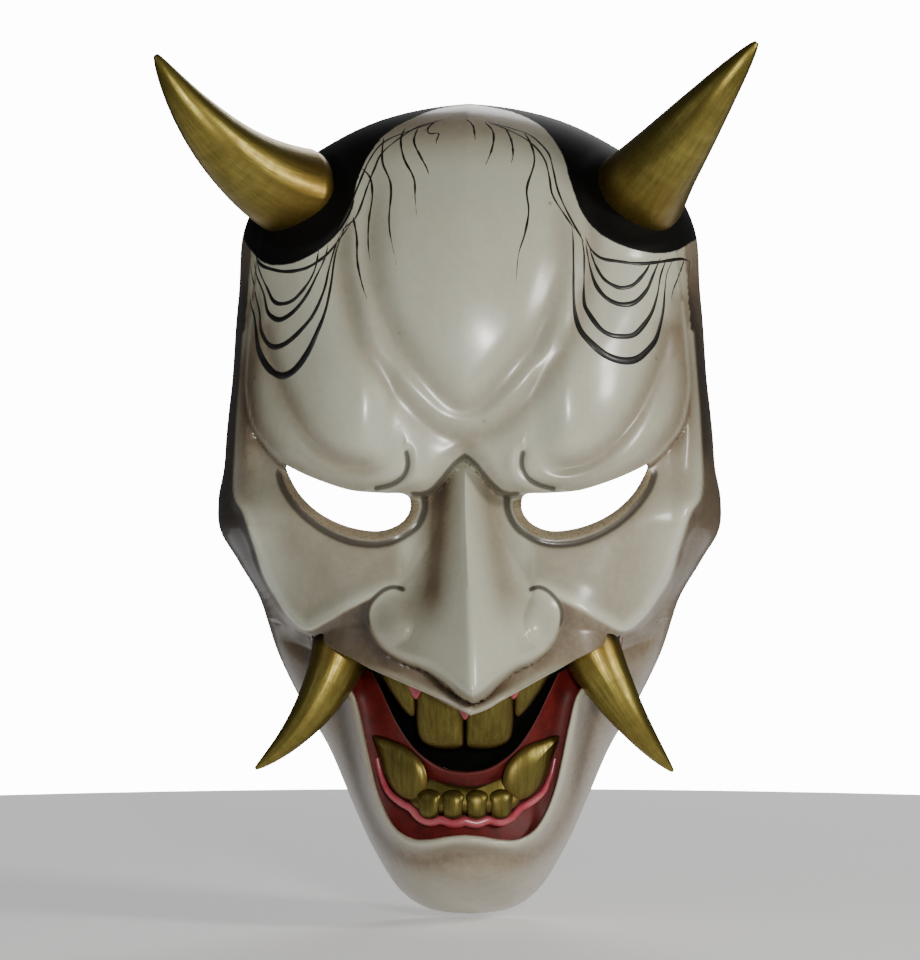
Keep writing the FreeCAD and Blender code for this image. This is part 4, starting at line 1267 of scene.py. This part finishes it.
def stroke(points, ends, swell=0.0):
    """One brushed stroke on the face: points in the frame, normals, and half widths that thin out at the ends."""
    run = resampled(through(points), max(12, int(4 * len(points) + 12)))
    x, z = run.T
    depth, up = surface_up(x, z)
    share = np.linspace(0.0, 1.0, len(run))
    bottom = hill((z - z.min()) / (0.55 * (z.max() - z.min()) + 0.1))
    thin = smooth(share / ends[0]) * smooth((1.0 - share) / ends[1])
    wave = 1.0 + 0.16 * np.sin(share * 23.0 + x[0]) + 0.10 * np.sin(share * 51.0 + z[0])
    half = (STROKE_HALF * wave + swell * bottom) * (0.28 + 0.72 * thin)
    places = placed(x, depth, z) / MM - up * STROKE_SINK
    return places, up, half


def hair_runs():
    runs = [stroke(points, (0.05, 0.45)) for points in WISPS]
    runs += [stroke(points, (0.1, 0.1)) for points in CAP_LINES]
    runs += [stroke(points, (0.12, 0.12), swell) for points, swell in zip(LOOPS, LOOP_SWELL)]
    return runs


def gum_strip_run():
    """The pink strip of gum below the lower teeth."""
    half = resampled(through(GUM_EDGE)[::-1], 50)
    x, z = both_halves(half).T
    depth = 61.0 - 0.013 * x * x
    up = np.tile((0.0, -1.0, 0.0), (len(x), 1))
    share = np.abs(np.linspace(-1.0, 1.0, len(x)))
    wide = 1.6 - 0.8 * share
    return [(placed(x, depth, z) / MM, up, wide)]


# ---- Materials --------------------------------------------------------------------------------------------
def object_places(w):
    return w.add("ShaderNodeTexCoord").outputs["Object"]


def lacquer_material(settings):
    """Shell-white paint with brown brushed into the hollows, part of it painted shade on the jaw and the wearer's right
    side, ink lines, and a black cap of hair.
    """
    material, w, principled = new_material("shell_white_paint", Specular_IOR_Level=0.5, Coat_Weight=settings.gloss,
                                           Coat_Roughness=0.18, Coat_IOR=1.45)
    where = object_places(w)
    broad = w.noise(24.0, 4.0, 0.6, where=where)
    fine = w.noise(420.0, 3.0, 0.7, where=where)
    strokes = w.noise(120.0, 4.0, 0.65, (1.0, 1.0, 0.22), where=where)
    shade = w.math("MULTIPLY", w.attribute("shade"), settings.shading)
    shade = w.math("ADD", shade, w.math("MULTIPLY", w.math("SUBTRACT", broad, 0.5), 0.38))
    shade = w.math("ADD", shade, w.math("MULTIPLY", w.math("SUBTRACT", fine, 0.5), 0.26))
    shade = w.math("ADD", shade, w.math("MULTIPLY", w.math("SUBTRACT", strokes, 0.5), 0.16))
    base = w.mix(w.math("MULTIPLY", shade, 0.86, clamp=True), colour(settings.white), colour(settings.brown))
    # Where the shading passes about 1, mostly on the jaw, it deepens to near black: painted shade.
    deep = w.step(shade, 0.95, 1.7)
    base = w.mix(deep, base, colour(settings.ink_and_deep_shade))
    dust = w.add("ShaderNodeGroup", {}, node_tree=group("paint_specks"))
    w.tree.links.new(where, dust.inputs["Vector"])
    base = w.mix(w.math("MULTIPLY", dust.outputs["Specks"], 0.9, clamp=True), base, colour(settings.ink_and_deep_shade))
    speckled = w.mix(w.step(w.noise(1500.0, 3.0, 0.8, where=where), 0.42, 0.70), colour(settings.lid_light),
                     colour(settings.lid_dark))
    base = w.mix(w.step(w.attribute("lid"), 0.2, 0.9), base, speckled)
    drawn = w.step(w.math("ADD", w.attribute("ink"), w.math("MULTIPLY", w.math("SUBTRACT", fine, 0.5), 0.5)),
                   0.5, 1.5, 1.0, 0.0)
    base = w.mix(w.math("MULTIPLY", drawn, 0.82), base, colour(settings.ink_and_deep_shade))
    rough_edge = w.math("ADD", w.attribute("cap"), w.math("MULTIPLY", w.math("SUBTRACT", fine, 0.5), 0.7))
    cap = w.step(rough_edge, -0.25, 0.25)
    base = w.mix(cap, base, colour(settings.hair_black))
    join(w, base, principled, "Base Color")
    roughness = w.mix(cap, w.mix(w.step(shade, 0.0, 1.0), colour((0.30,) * 3), colour((0.44,) * 3)), colour((0.62,) * 3))
    join(w, roughness, principled, "Roughness")
    join(w, w.step(cap, 0.0, 1.0, settings.gloss, 0.0), principled, "Coat Weight")
    join(w, w.step(cap, 0.0, 1.0, 0.5, 0.16), principled, "Specular IOR Level")
    height = w.math("ADD", w.math("MULTIPLY", strokes, 0.6), w.math("MULTIPLY", fine, 0.25))
    add_bump(w, principled, height, 0.22, 0.0006)
    return material


def flat_paint(name, base, dark, roughness, coat, scale=90.0, bump=0.12):
    """One colour of paint with darker blotches and a fine bump."""
    material, w, principled = new_material(name, Roughness=roughness, Coat_Weight=coat, Coat_Roughness=0.2)
    where = object_places(w)
    cloud = w.noise(scale, 5.0, 0.65, where=where)
    base_colour = w.mix(w.step(cloud, 0.4, 0.7), colour(base), colour(dark))
    join(w, base_colour, principled, "Base Color")
    add_bump(w, principled, w.noise(500.0, 3.0, 0.6, where=where), bump, 0.0006)
    return material


def lining_material(settings):
    """Dark red lacquer, turning almost black towards the back of the mouth."""
    material, w, principled = new_material("red_lacquer", Roughness=0.5, Specular_IOR_Level=0.3)
    where = object_places(w)
    cloud = w.noise(130.0, 5.0, 0.7, where=where)
    base = w.mix(w.step(cloud, 0.38, 0.72), colour(settings.red), colour(settings.red_dark))
    base = w.mix(w.step(w.attribute("across"), 0.82, 1.0), base, (0.004, 0.003, 0.002, 1.0))
    join(w, base, principled, "Base Color")
    add_bump(w, principled, cloud, 0.2, 0.0006)
    return material


def toned(value, tone):
    return colour([part * tone for part in value])


def gold_material(settings, name, dark_from, dark_to, tone, warm_to):
    """Brushed gold over dark size, darker where a horn, tusk or tooth starts."""
    material, w, principled = new_material(name, Metallic=settings.metal, Roughness=settings.roughness,
                                           Coat_Weight=0.12, Coat_Roughness=0.3)
    flow = w.add("ShaderNodeAttribute", attribute_name="flow").outputs["Vector"]
    brushed = w.add("ShaderNodeGroup", {"Stretch": (1.0, 1.0, 0.012), "Scale": 7.0, "Blotches": 0.35,
                                        "Dark": toned(settings.dark, tone), "Light": toned(settings.light, tone),
                                        "Vector": flow}, node_tree=group("brushed_paint"))
    where = object_places(w)
    patches = w.noise(55.0, 4.0, 0.6, where=where)
    base = w.mix(w.math("MULTIPLY", w.step(patches, 0.35, 0.75), 0.55), brushed.outputs["Color"],
                 toned(settings.dark, tone))
    start = w.attribute("start")
    base = w.mix(w.step(start, 0.0, warm_to, 0.6, 0.0), base, toned(settings.warm, tone))
    base = w.mix(w.step(start, dark_from, dark_to, 1.0, 0.0), base, (0.010, 0.008, 0.004, 1.0))
    join(w, base, principled, "Base Color")
    rough = w.step(brushed.outputs["Streaks"], 0.3, 0.7, settings.roughness + 0.10, settings.roughness - 0.06)
    join(w, rough, principled, "Roughness")
    add_bump(w, principled, brushed.outputs["Streaks"], 0.24, 0.0006)
    return material


def wood_material(settings, name="bare_cypress"):
    material, w, principled = new_material(name, Roughness=0.62)
    where = object_places(w)
    wood = w.add("ShaderNodeGroup", {"Vector": where, "Dark": colour(settings.wood_dark),
                                     "Light": colour(settings.wood_light)}, node_tree=group("cypress_grain"))
    join(w, wood.outputs["Color"], principled, "Base Color")
    gouges = w.add("ShaderNodeTexVoronoi", {"Vector": w.add("ShaderNodeMapping", {0: where, 3: (1.0, 0.6, 0.45)}
                                                             ).outputs[0], "Scale": 150.0},
                   feature="SMOOTH_F1").outputs["Distance"]
    height = w.math("ADD", w.math("MULTIPLY", gouges, 0.9), w.math("MULTIPLY", wood.outputs["Grain"], 0.12))
    add_bump(w, principled, height, 0.5, 0.0012)
    return material


# ---- Settings -----------------------------------------------------------------------------------------------
def tint(name, description, default):
    return FloatVectorProperty(name=name, description=description, subtype="COLOR", size=3, min=0.0, max=1.0,
                               default=default)


def share_of(name, description, default):
    return FloatProperty(name=name, description=description, subtype="FACTOR", min=0.0, max=1.0, default=default)


class NohFaceSettings(PropertyGroup):
    """Paint of the face."""
    white: tint("White", "Clean shell-white paint", (0.60, 0.605, 0.475))
    # Also the colour of the painted shade on the jaw and on the wearer's right side.
    brown: tint("Brown", "Shading brushed into the hollows", (0.205, 0.150, 0.091))
    # Ink also gives the near black where the shading runs deepest, mostly painted shade on the jaw, and the dust
    # specks.
    ink_and_deep_shade: tint("Ink", "Lines in the deepest creases", (0.030, 0.021, 0.014))
    lid_light: tint("Lid", "Cut edge of the lower lids", (0.34, 0.28, 0.18))
    lid_dark: tint("Lid specks", "Specks on the cut edge of the lower lids", (0.17, 0.13, 0.08))
    hair_black: tint("Hair", "Black of the painted hair", (0.0025, 0.0023, 0.002))
    wood_light: tint("Light wood", "Light growth lines of the bare back", (0.50, 0.33, 0.18))
    wood_dark: tint("Dark wood", "Dark growth lines of the bare back", (0.30, 0.17, 0.08))
    gloss: share_of("Gloss", "Strength of the clear coat over the paint", 0.5)
    shading: FloatProperty(name="Shading", description="Strength of the brown shading", min=0.0, max=2.0, default=1.0)


class NohGoldSettings(PropertyGroup):
    """Gilding of the horns, tusks and teeth."""
    light: tint("Light gold", "Gold on the brushed streaks", (0.33, 0.272, 0.062))
    dark: tint("Dark gold", "Gold between the streaks", (0.150, 0.112, 0.020))
    warm: tint("Warm gold", "Gold where a horn, tusk or tooth starts", (0.21, 0.118, 0.022))
    metal: share_of("Metal", "How metallic the gilding is", 0.9)
    roughness: share_of("Roughness", "Roughness of the gilding", 0.36)
    horn_root: FloatProperty(name="Horn root", description="Length of a horn inside the face, in millimetres",
                             min=2.0, max=20.0, default=13.0)


class NohMouthSettings(PropertyGroup):
    """Colours of the mouth."""
    red: tint("Red", "Red lacquer of the lining", (0.125, 0.008, 0.006))
    red_dark: tint("Dark red", "Blotches in the red lacquer", (0.065, 0.004, 0.003))
    pink: tint("Pink", "Gums", (0.42, 0.085, 0.10))
    pink_dark: tint("Dark pink", "Blotches in the gums", (0.36, 0.03, 0.05))
    black: tint("Black", "Lacquer at the back of the mouth", (0.0015, 0.0015, 0.001))


class NohStageSettings(PropertyGroup):
    """Camera, lights and floor."""
    distance: FloatProperty(name="Camera distance", description="From the middle of the face", unit="LENGTH",
                            min=0.5, max=5.0, default=1.4)
    azimuth: FloatProperty(name="Camera turn", description="Towards the wearer's left, in degrees", default=1.5)
    roll: FloatProperty(name="Camera roll", description="In degrees", default=0.0)
    lens: FloatProperty(name="Lens", description="Focal length, in millimetres", min=20.0, max=400.0, default=161.5)
    key_power: FloatProperty(name="Key light", description="Power of the key light, in watts", min=0.0, default=9.0)
    side_power: FloatProperty(name="Side light", description="Power of the side light, in watts", min=0.0,
                              default=11.0)
    fill_power: FloatProperty(name="Fill light", description="Power of the fill light, in watts", min=0.0,
                              default=1.4)
    back_power: FloatProperty(name="Back light", description="Power of the back light, in watts", min=0.0,
                              default=7.0)
    backdrop: FloatProperty(name="Backdrop", description="Brightness of the white background", min=0.0, default=14.0)
    ambient: FloatProperty(name="Ambient", description="Brightness of the light from all round", min=0.0,
                           default=0.05)


# ---- Operators ------------------------------------------------------------------------------------------------
GOLD = {}


def gold_for(kind, settings):
    """The gold for horns, tusks or teeth, made once."""
    # For each: where the near black at its start fades out, how bright its gold is, and how far the warm gold reaches.
    # The teeth's gold at 0.6 is painted shade for teeth set back in the mouth.
    spans = {"horn": (-4.0, -2.5, 1.0, 26.0), "tusk": (1.0, 6.0, 0.95, 16.0), "tooth": (0.02, 1.4, 0.6, 7.0)}
    if kind not in GOLD:
        GOLD[kind] = gold_material(settings, "gold_" + kind, *spans[kind])
    return GOLD[kind]


class NOH_OT_face(Operator):
    """Build the carved and painted face with its hollow back"""
    bl_idname = "noh.face"
    bl_label = "Face"

    def execute(self, context):
        settings = context.scene.noh_face
        points, faces, slots, masks = face_mesh()
        thing = make_object("face_shell", placed(*points.T), faces, masks, slots=slots)
        tidy_normals(thing)
        thing.data.set_sharp_from_angle(angle=math.radians(48.0))
        cut_edge = flat_paint("cut_edge_paint", (0.40, 0.33, 0.22), (0.17, 0.12, 0.07), 0.55, 0.1, 300.0, 0.3)
        finish_piece(thing, ["face_shell"],
                     [lacquer_material(settings), wood_material(settings), cut_edge])
        return {"FINISHED"}


class NOH_OT_hair(Operator):
    """Lay the brushed strokes of hair on the forehead and temples"""
    bl_idname = "noh.hair"
    bl_label = "Hair strokes"

    def execute(self, context):
        black = flat_paint("hair_ink", tuple(context.scene.noh_face.hair_black), (0.02, 0.018, 0.014), 0.45, 0.2)
        thing = strokes_object("hair_strokes", hair_runs(), black, 0.34, 10)
        finish_piece(thing)
        return {"FINISHED"}


class NOH_OT_horns(Operator):
    """Build the two gilt horns"""
    bl_idname = "noh.horns"
    bl_label = "Horns"

    def execute(self, context):
        settings = context.scene.noh_gold
        for name in HORNS:
            thing = make_horn(name, settings)
            tidy_normals(thing)
            finish_piece(thing, [name], [gold_for("horn", settings)])
        return {"FINISHED"}


class NOH_OT_tusks(Operator):
    """Build the two gilt tusks"""
    bl_idname = "noh.tusks"
    bl_label = "Tusks"

    def execute(self, context):
        for name in TUSKS:
            thing = make_tusk(name)
            tidy_normals(thing)
            finish_piece(thing, [name], [gold_for("tusk", context.scene.noh_gold)])
        return {"FINISHED"}


class NOH_OT_teeth(Operator):
    """Build the gilt teeth and lower fangs"""
    bl_idname = "noh.teeth"
    bl_label = "Teeth"

    def execute(self, context):
        gold = gold_for("tooth", context.scene.noh_gold)
        for side_name, side in SIDES.items():
            made = {
                "upper_%s_incisor": tooth_piece("upper_incisor", UPPER_INCISOR, side, upper_tooth_depth, 3.6),
                "upper_%s_side_tooth": tooth_piece("upper_side_tooth", UPPER_SIDE_TOOTH, side, upper_tooth_depth, 2.8),
                "lower_%s_inner_incisor": tooth_piece("inner_incisor", LOWER_LOBE, side, lower_tooth_depth, 3.4),
                "lower_%s_outer_incisor": tooth_piece("outer_incisor", LOWER_LOBE, side, lower_tooth_depth, 3.2, 7.7),
                "lower_%s_fang": make_fang("lower_fang", side)}
            for pattern, thing in made.items():
                thing.name = pattern % side_name
                finish_piece(thing, [pattern % side_name], [gold])
        shelf = plaque("tooth_shelf", mirrored(SHELF)[:-1], shelf_depth, 2.4, 3.0)
        finish_piece(shelf, (), [gold])
        return {"FINISHED"}


class NOH_OT_mouth(Operator):
    """Build the red lining, the gums and the black back of the mouth"""
    bl_idname = "noh.mouth"
    bl_label = "Mouth"

    def execute(self, context):
        settings = context.scene.noh_mouth
        pink = flat_paint("pink_gum_paint", tuple(settings.pink), tuple(settings.pink_dark), 0.3, 0.4)
        black = flat_paint("mouth_black", tuple(settings.black), (0.003, 0.003, 0.002), 0.95, 0.0)
        black.node_tree.nodes["Principled BSDF"].inputs["Specular IOR Level"].default_value = 0.1
        finish_piece(make_lining(), ["mouth_lining"], [lining_material(settings)])
        finish_piece(make_backing(), ["mouth_backing"], [black])
        finish_piece(make_upper_gum(), ["upper_gum"], [black])
        for name, outline in gum_points().items():
            finish_piece(plaque(name, outline, papilla_depth, 1.2, 2.0), (), [pink])
        strip = strokes_object("lower_gum", gum_strip_run(), pink, 0.8, 20)
        finish_piece(strip, ["lower_gum"])
        return {"FINISHED"}


class NOH_OT_dowels(Operator):
    """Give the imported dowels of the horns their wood"""
    bl_idname = "noh.dowels"
    bl_label = "Dowels"

    def execute(self, context):
        wood = wood_material(context.scene.noh_face, "dowel_wood")
        for name in HORNS:
            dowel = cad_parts[name + "_dowel"]
            dowel.data.materials.clear()
            dowel.data.materials.append(wood)
        return {"FINISHED"}


def aim(thing, target, roll=0.0):
    """Turns a camera or a light to look at a place."""
    direction = Vector(target) - thing.location
    thing.rotation_mode = "QUATERNION"
    thing.rotation_quaternion = direction.to_track_quat("-Z", "Y")
    if roll:
        thing.rotation_mode = "XYZ"
        thing.rotation_euler.rotate_axis("Z", math.radians(roll))


def add_light(name, place, target, size, power, tone=(1.0, 1.0, 1.0)):
    lamp = bpy.data.lights.new(name, "AREA")
    lamp.shape = "DISK"
    lamp.size = size
    lamp.energy = power
    lamp.color = tone
    thing = bpy.data.objects.new(name, lamp)
    thing.location = place
    bpy.context.scene.collection.objects.link(thing)
    aim(thing, target)
    return thing


VIEW_CENTRE = (-1.9, -50.0, 6.5)       # what the middle of the view looks at, in millimetres
FLOOR_DROP = 0.0015
FLOOR_RADIUS = 0.6


def make_world(settings):
    """A white background for the camera and a dimmer light from all round."""
    world = bpy.data.worlds.new("studio")
    world.use_nodes = True
    tree = world.node_tree
    w = Wiring(tree)
    background = tree.nodes["Background"]
    background.inputs["Color"].default_value = (1.0, 1.0, 1.0, 1.0)
    rays = w.add("ShaderNodeLightPath").outputs["Is Camera Ray"]
    strength = w.add("ShaderNodeMapRange", {0: rays, 1: 0.0, 2: 1.0, 3: settings.ambient, 4: settings.backdrop})
    tree.links.new(strength.outputs[0], background.inputs["Strength"])
    bpy.context.scene.world = world


def make_floor():
    """A plain pale round floor just below the chin."""
    turn = np.linspace(0.0, 2.0 * math.pi, 96, endpoint=False)
    level = CAD_BOX[0][2] - FLOOR_DROP
    points = np.stack((FLOOR_RADIUS * np.cos(turn), FLOOR_RADIUS * np.sin(turn), np.full(96, level)), axis=1)
    floor = make_object("floor", points, [np.arange(96)], shade_smooth=False)
    material, w, principled = new_material("pale_floor", Roughness=0.9)
    principled.inputs["Base Color"].default_value = (0.9, 0.9, 0.9, 1.0)
    principled.inputs["Emission Color"].default_value = (1.0, 1.0, 1.0, 1.0)
    principled.inputs["Emission Strength"].default_value = 0.3
    floor.data.materials.append(material)


class NOH_OT_stage(Operator):
    """Set up the floor, the lights, the world and the camera"""
    bl_idname = "noh.stage"
    bl_label = "Stage"

    def execute(self, context):
        settings = context.scene.noh_stage
        make_world(settings)
        make_floor()
        middle = Vector(VIEW_CENTRE) * MM
        add_light("key", (0.24, -1.45, 0.20), middle, 0.15, settings.key_power, (1.0, 0.985, 0.95))
        add_light("side", (1.25, -0.75, 0.45), middle, 0.35, settings.side_power, (1.0, 0.97, 0.92))
        add_light("fill", (-1.1, -1.0, 0.5), middle, 0.9, settings.fill_power, (0.93, 0.96, 1.0))
        add_light("back", (0.2, 1.3, 0.9), middle, 0.8, settings.back_power)
        camera = bpy.data.objects.new("camera", bpy.data.cameras.new("camera"))
        camera.data.lens = settings.lens
        turn = math.radians(settings.azimuth)
        camera.location = middle + Vector((math.sin(turn), -math.cos(turn), 0.0)) * settings.distance
        bpy.context.scene.collection.objects.link(camera)
        aim(camera, middle, settings.roll)
        context.scene.camera = camera
        return {"FINISHED"}


class NOH_PT_panel(Panel):
    """Lists the pieces of the mask in the sidebar"""
    bl_label = "Noh mask"
    bl_space_type = "VIEW_3D"
    bl_region_type = "UI"
    bl_category = "Noh mask"

    def draw(self, context):
        layout = self.layout
        for operator in OPERATORS:
            layout.operator(operator.bl_idname)
        for key, kind in SETTINGS.items():
            box = layout.box()
            for name in kind.__annotations__:
                box.prop(getattr(context.scene, key), name)


SETTINGS = {"noh_face": NohFaceSettings, "noh_gold": NohGoldSettings, "noh_mouth": NohMouthSettings,
            "noh_stage": NohStageSettings}
OPERATORS = (NOH_OT_face, NOH_OT_hair, NOH_OT_horns, NOH_OT_tusks, NOH_OT_teeth, NOH_OT_mouth, NOH_OT_dowels,
             NOH_OT_stage)
CLASSES = tuple(SETTINGS.values()) + OPERATORS + (NOH_PT_panel,)


def register():
    for kind in CLASSES:
        bpy.utils.register_class(kind)
    for key, kind in SETTINGS.items():
        setattr(bpy.types.Scene, key, PointerProperty(type=kind))


def unregister():
    for key in SETTINGS:
        delattr(bpy.types.Scene, key)
    for kind in reversed(CLASSES):
        bpy.utils.unregister_class(kind)


def main():
    register()
    bpy.ops.noh.face()
    bpy.ops.noh.hair()
    bpy.ops.noh.horns()
    bpy.ops.noh.tusks()
    bpy.ops.noh.teeth()
    bpy.ops.noh.mouth()
    bpy.ops.noh.dowels()
    bpy.ops.noh.stage()


if __name__ == "__main__":
    main()
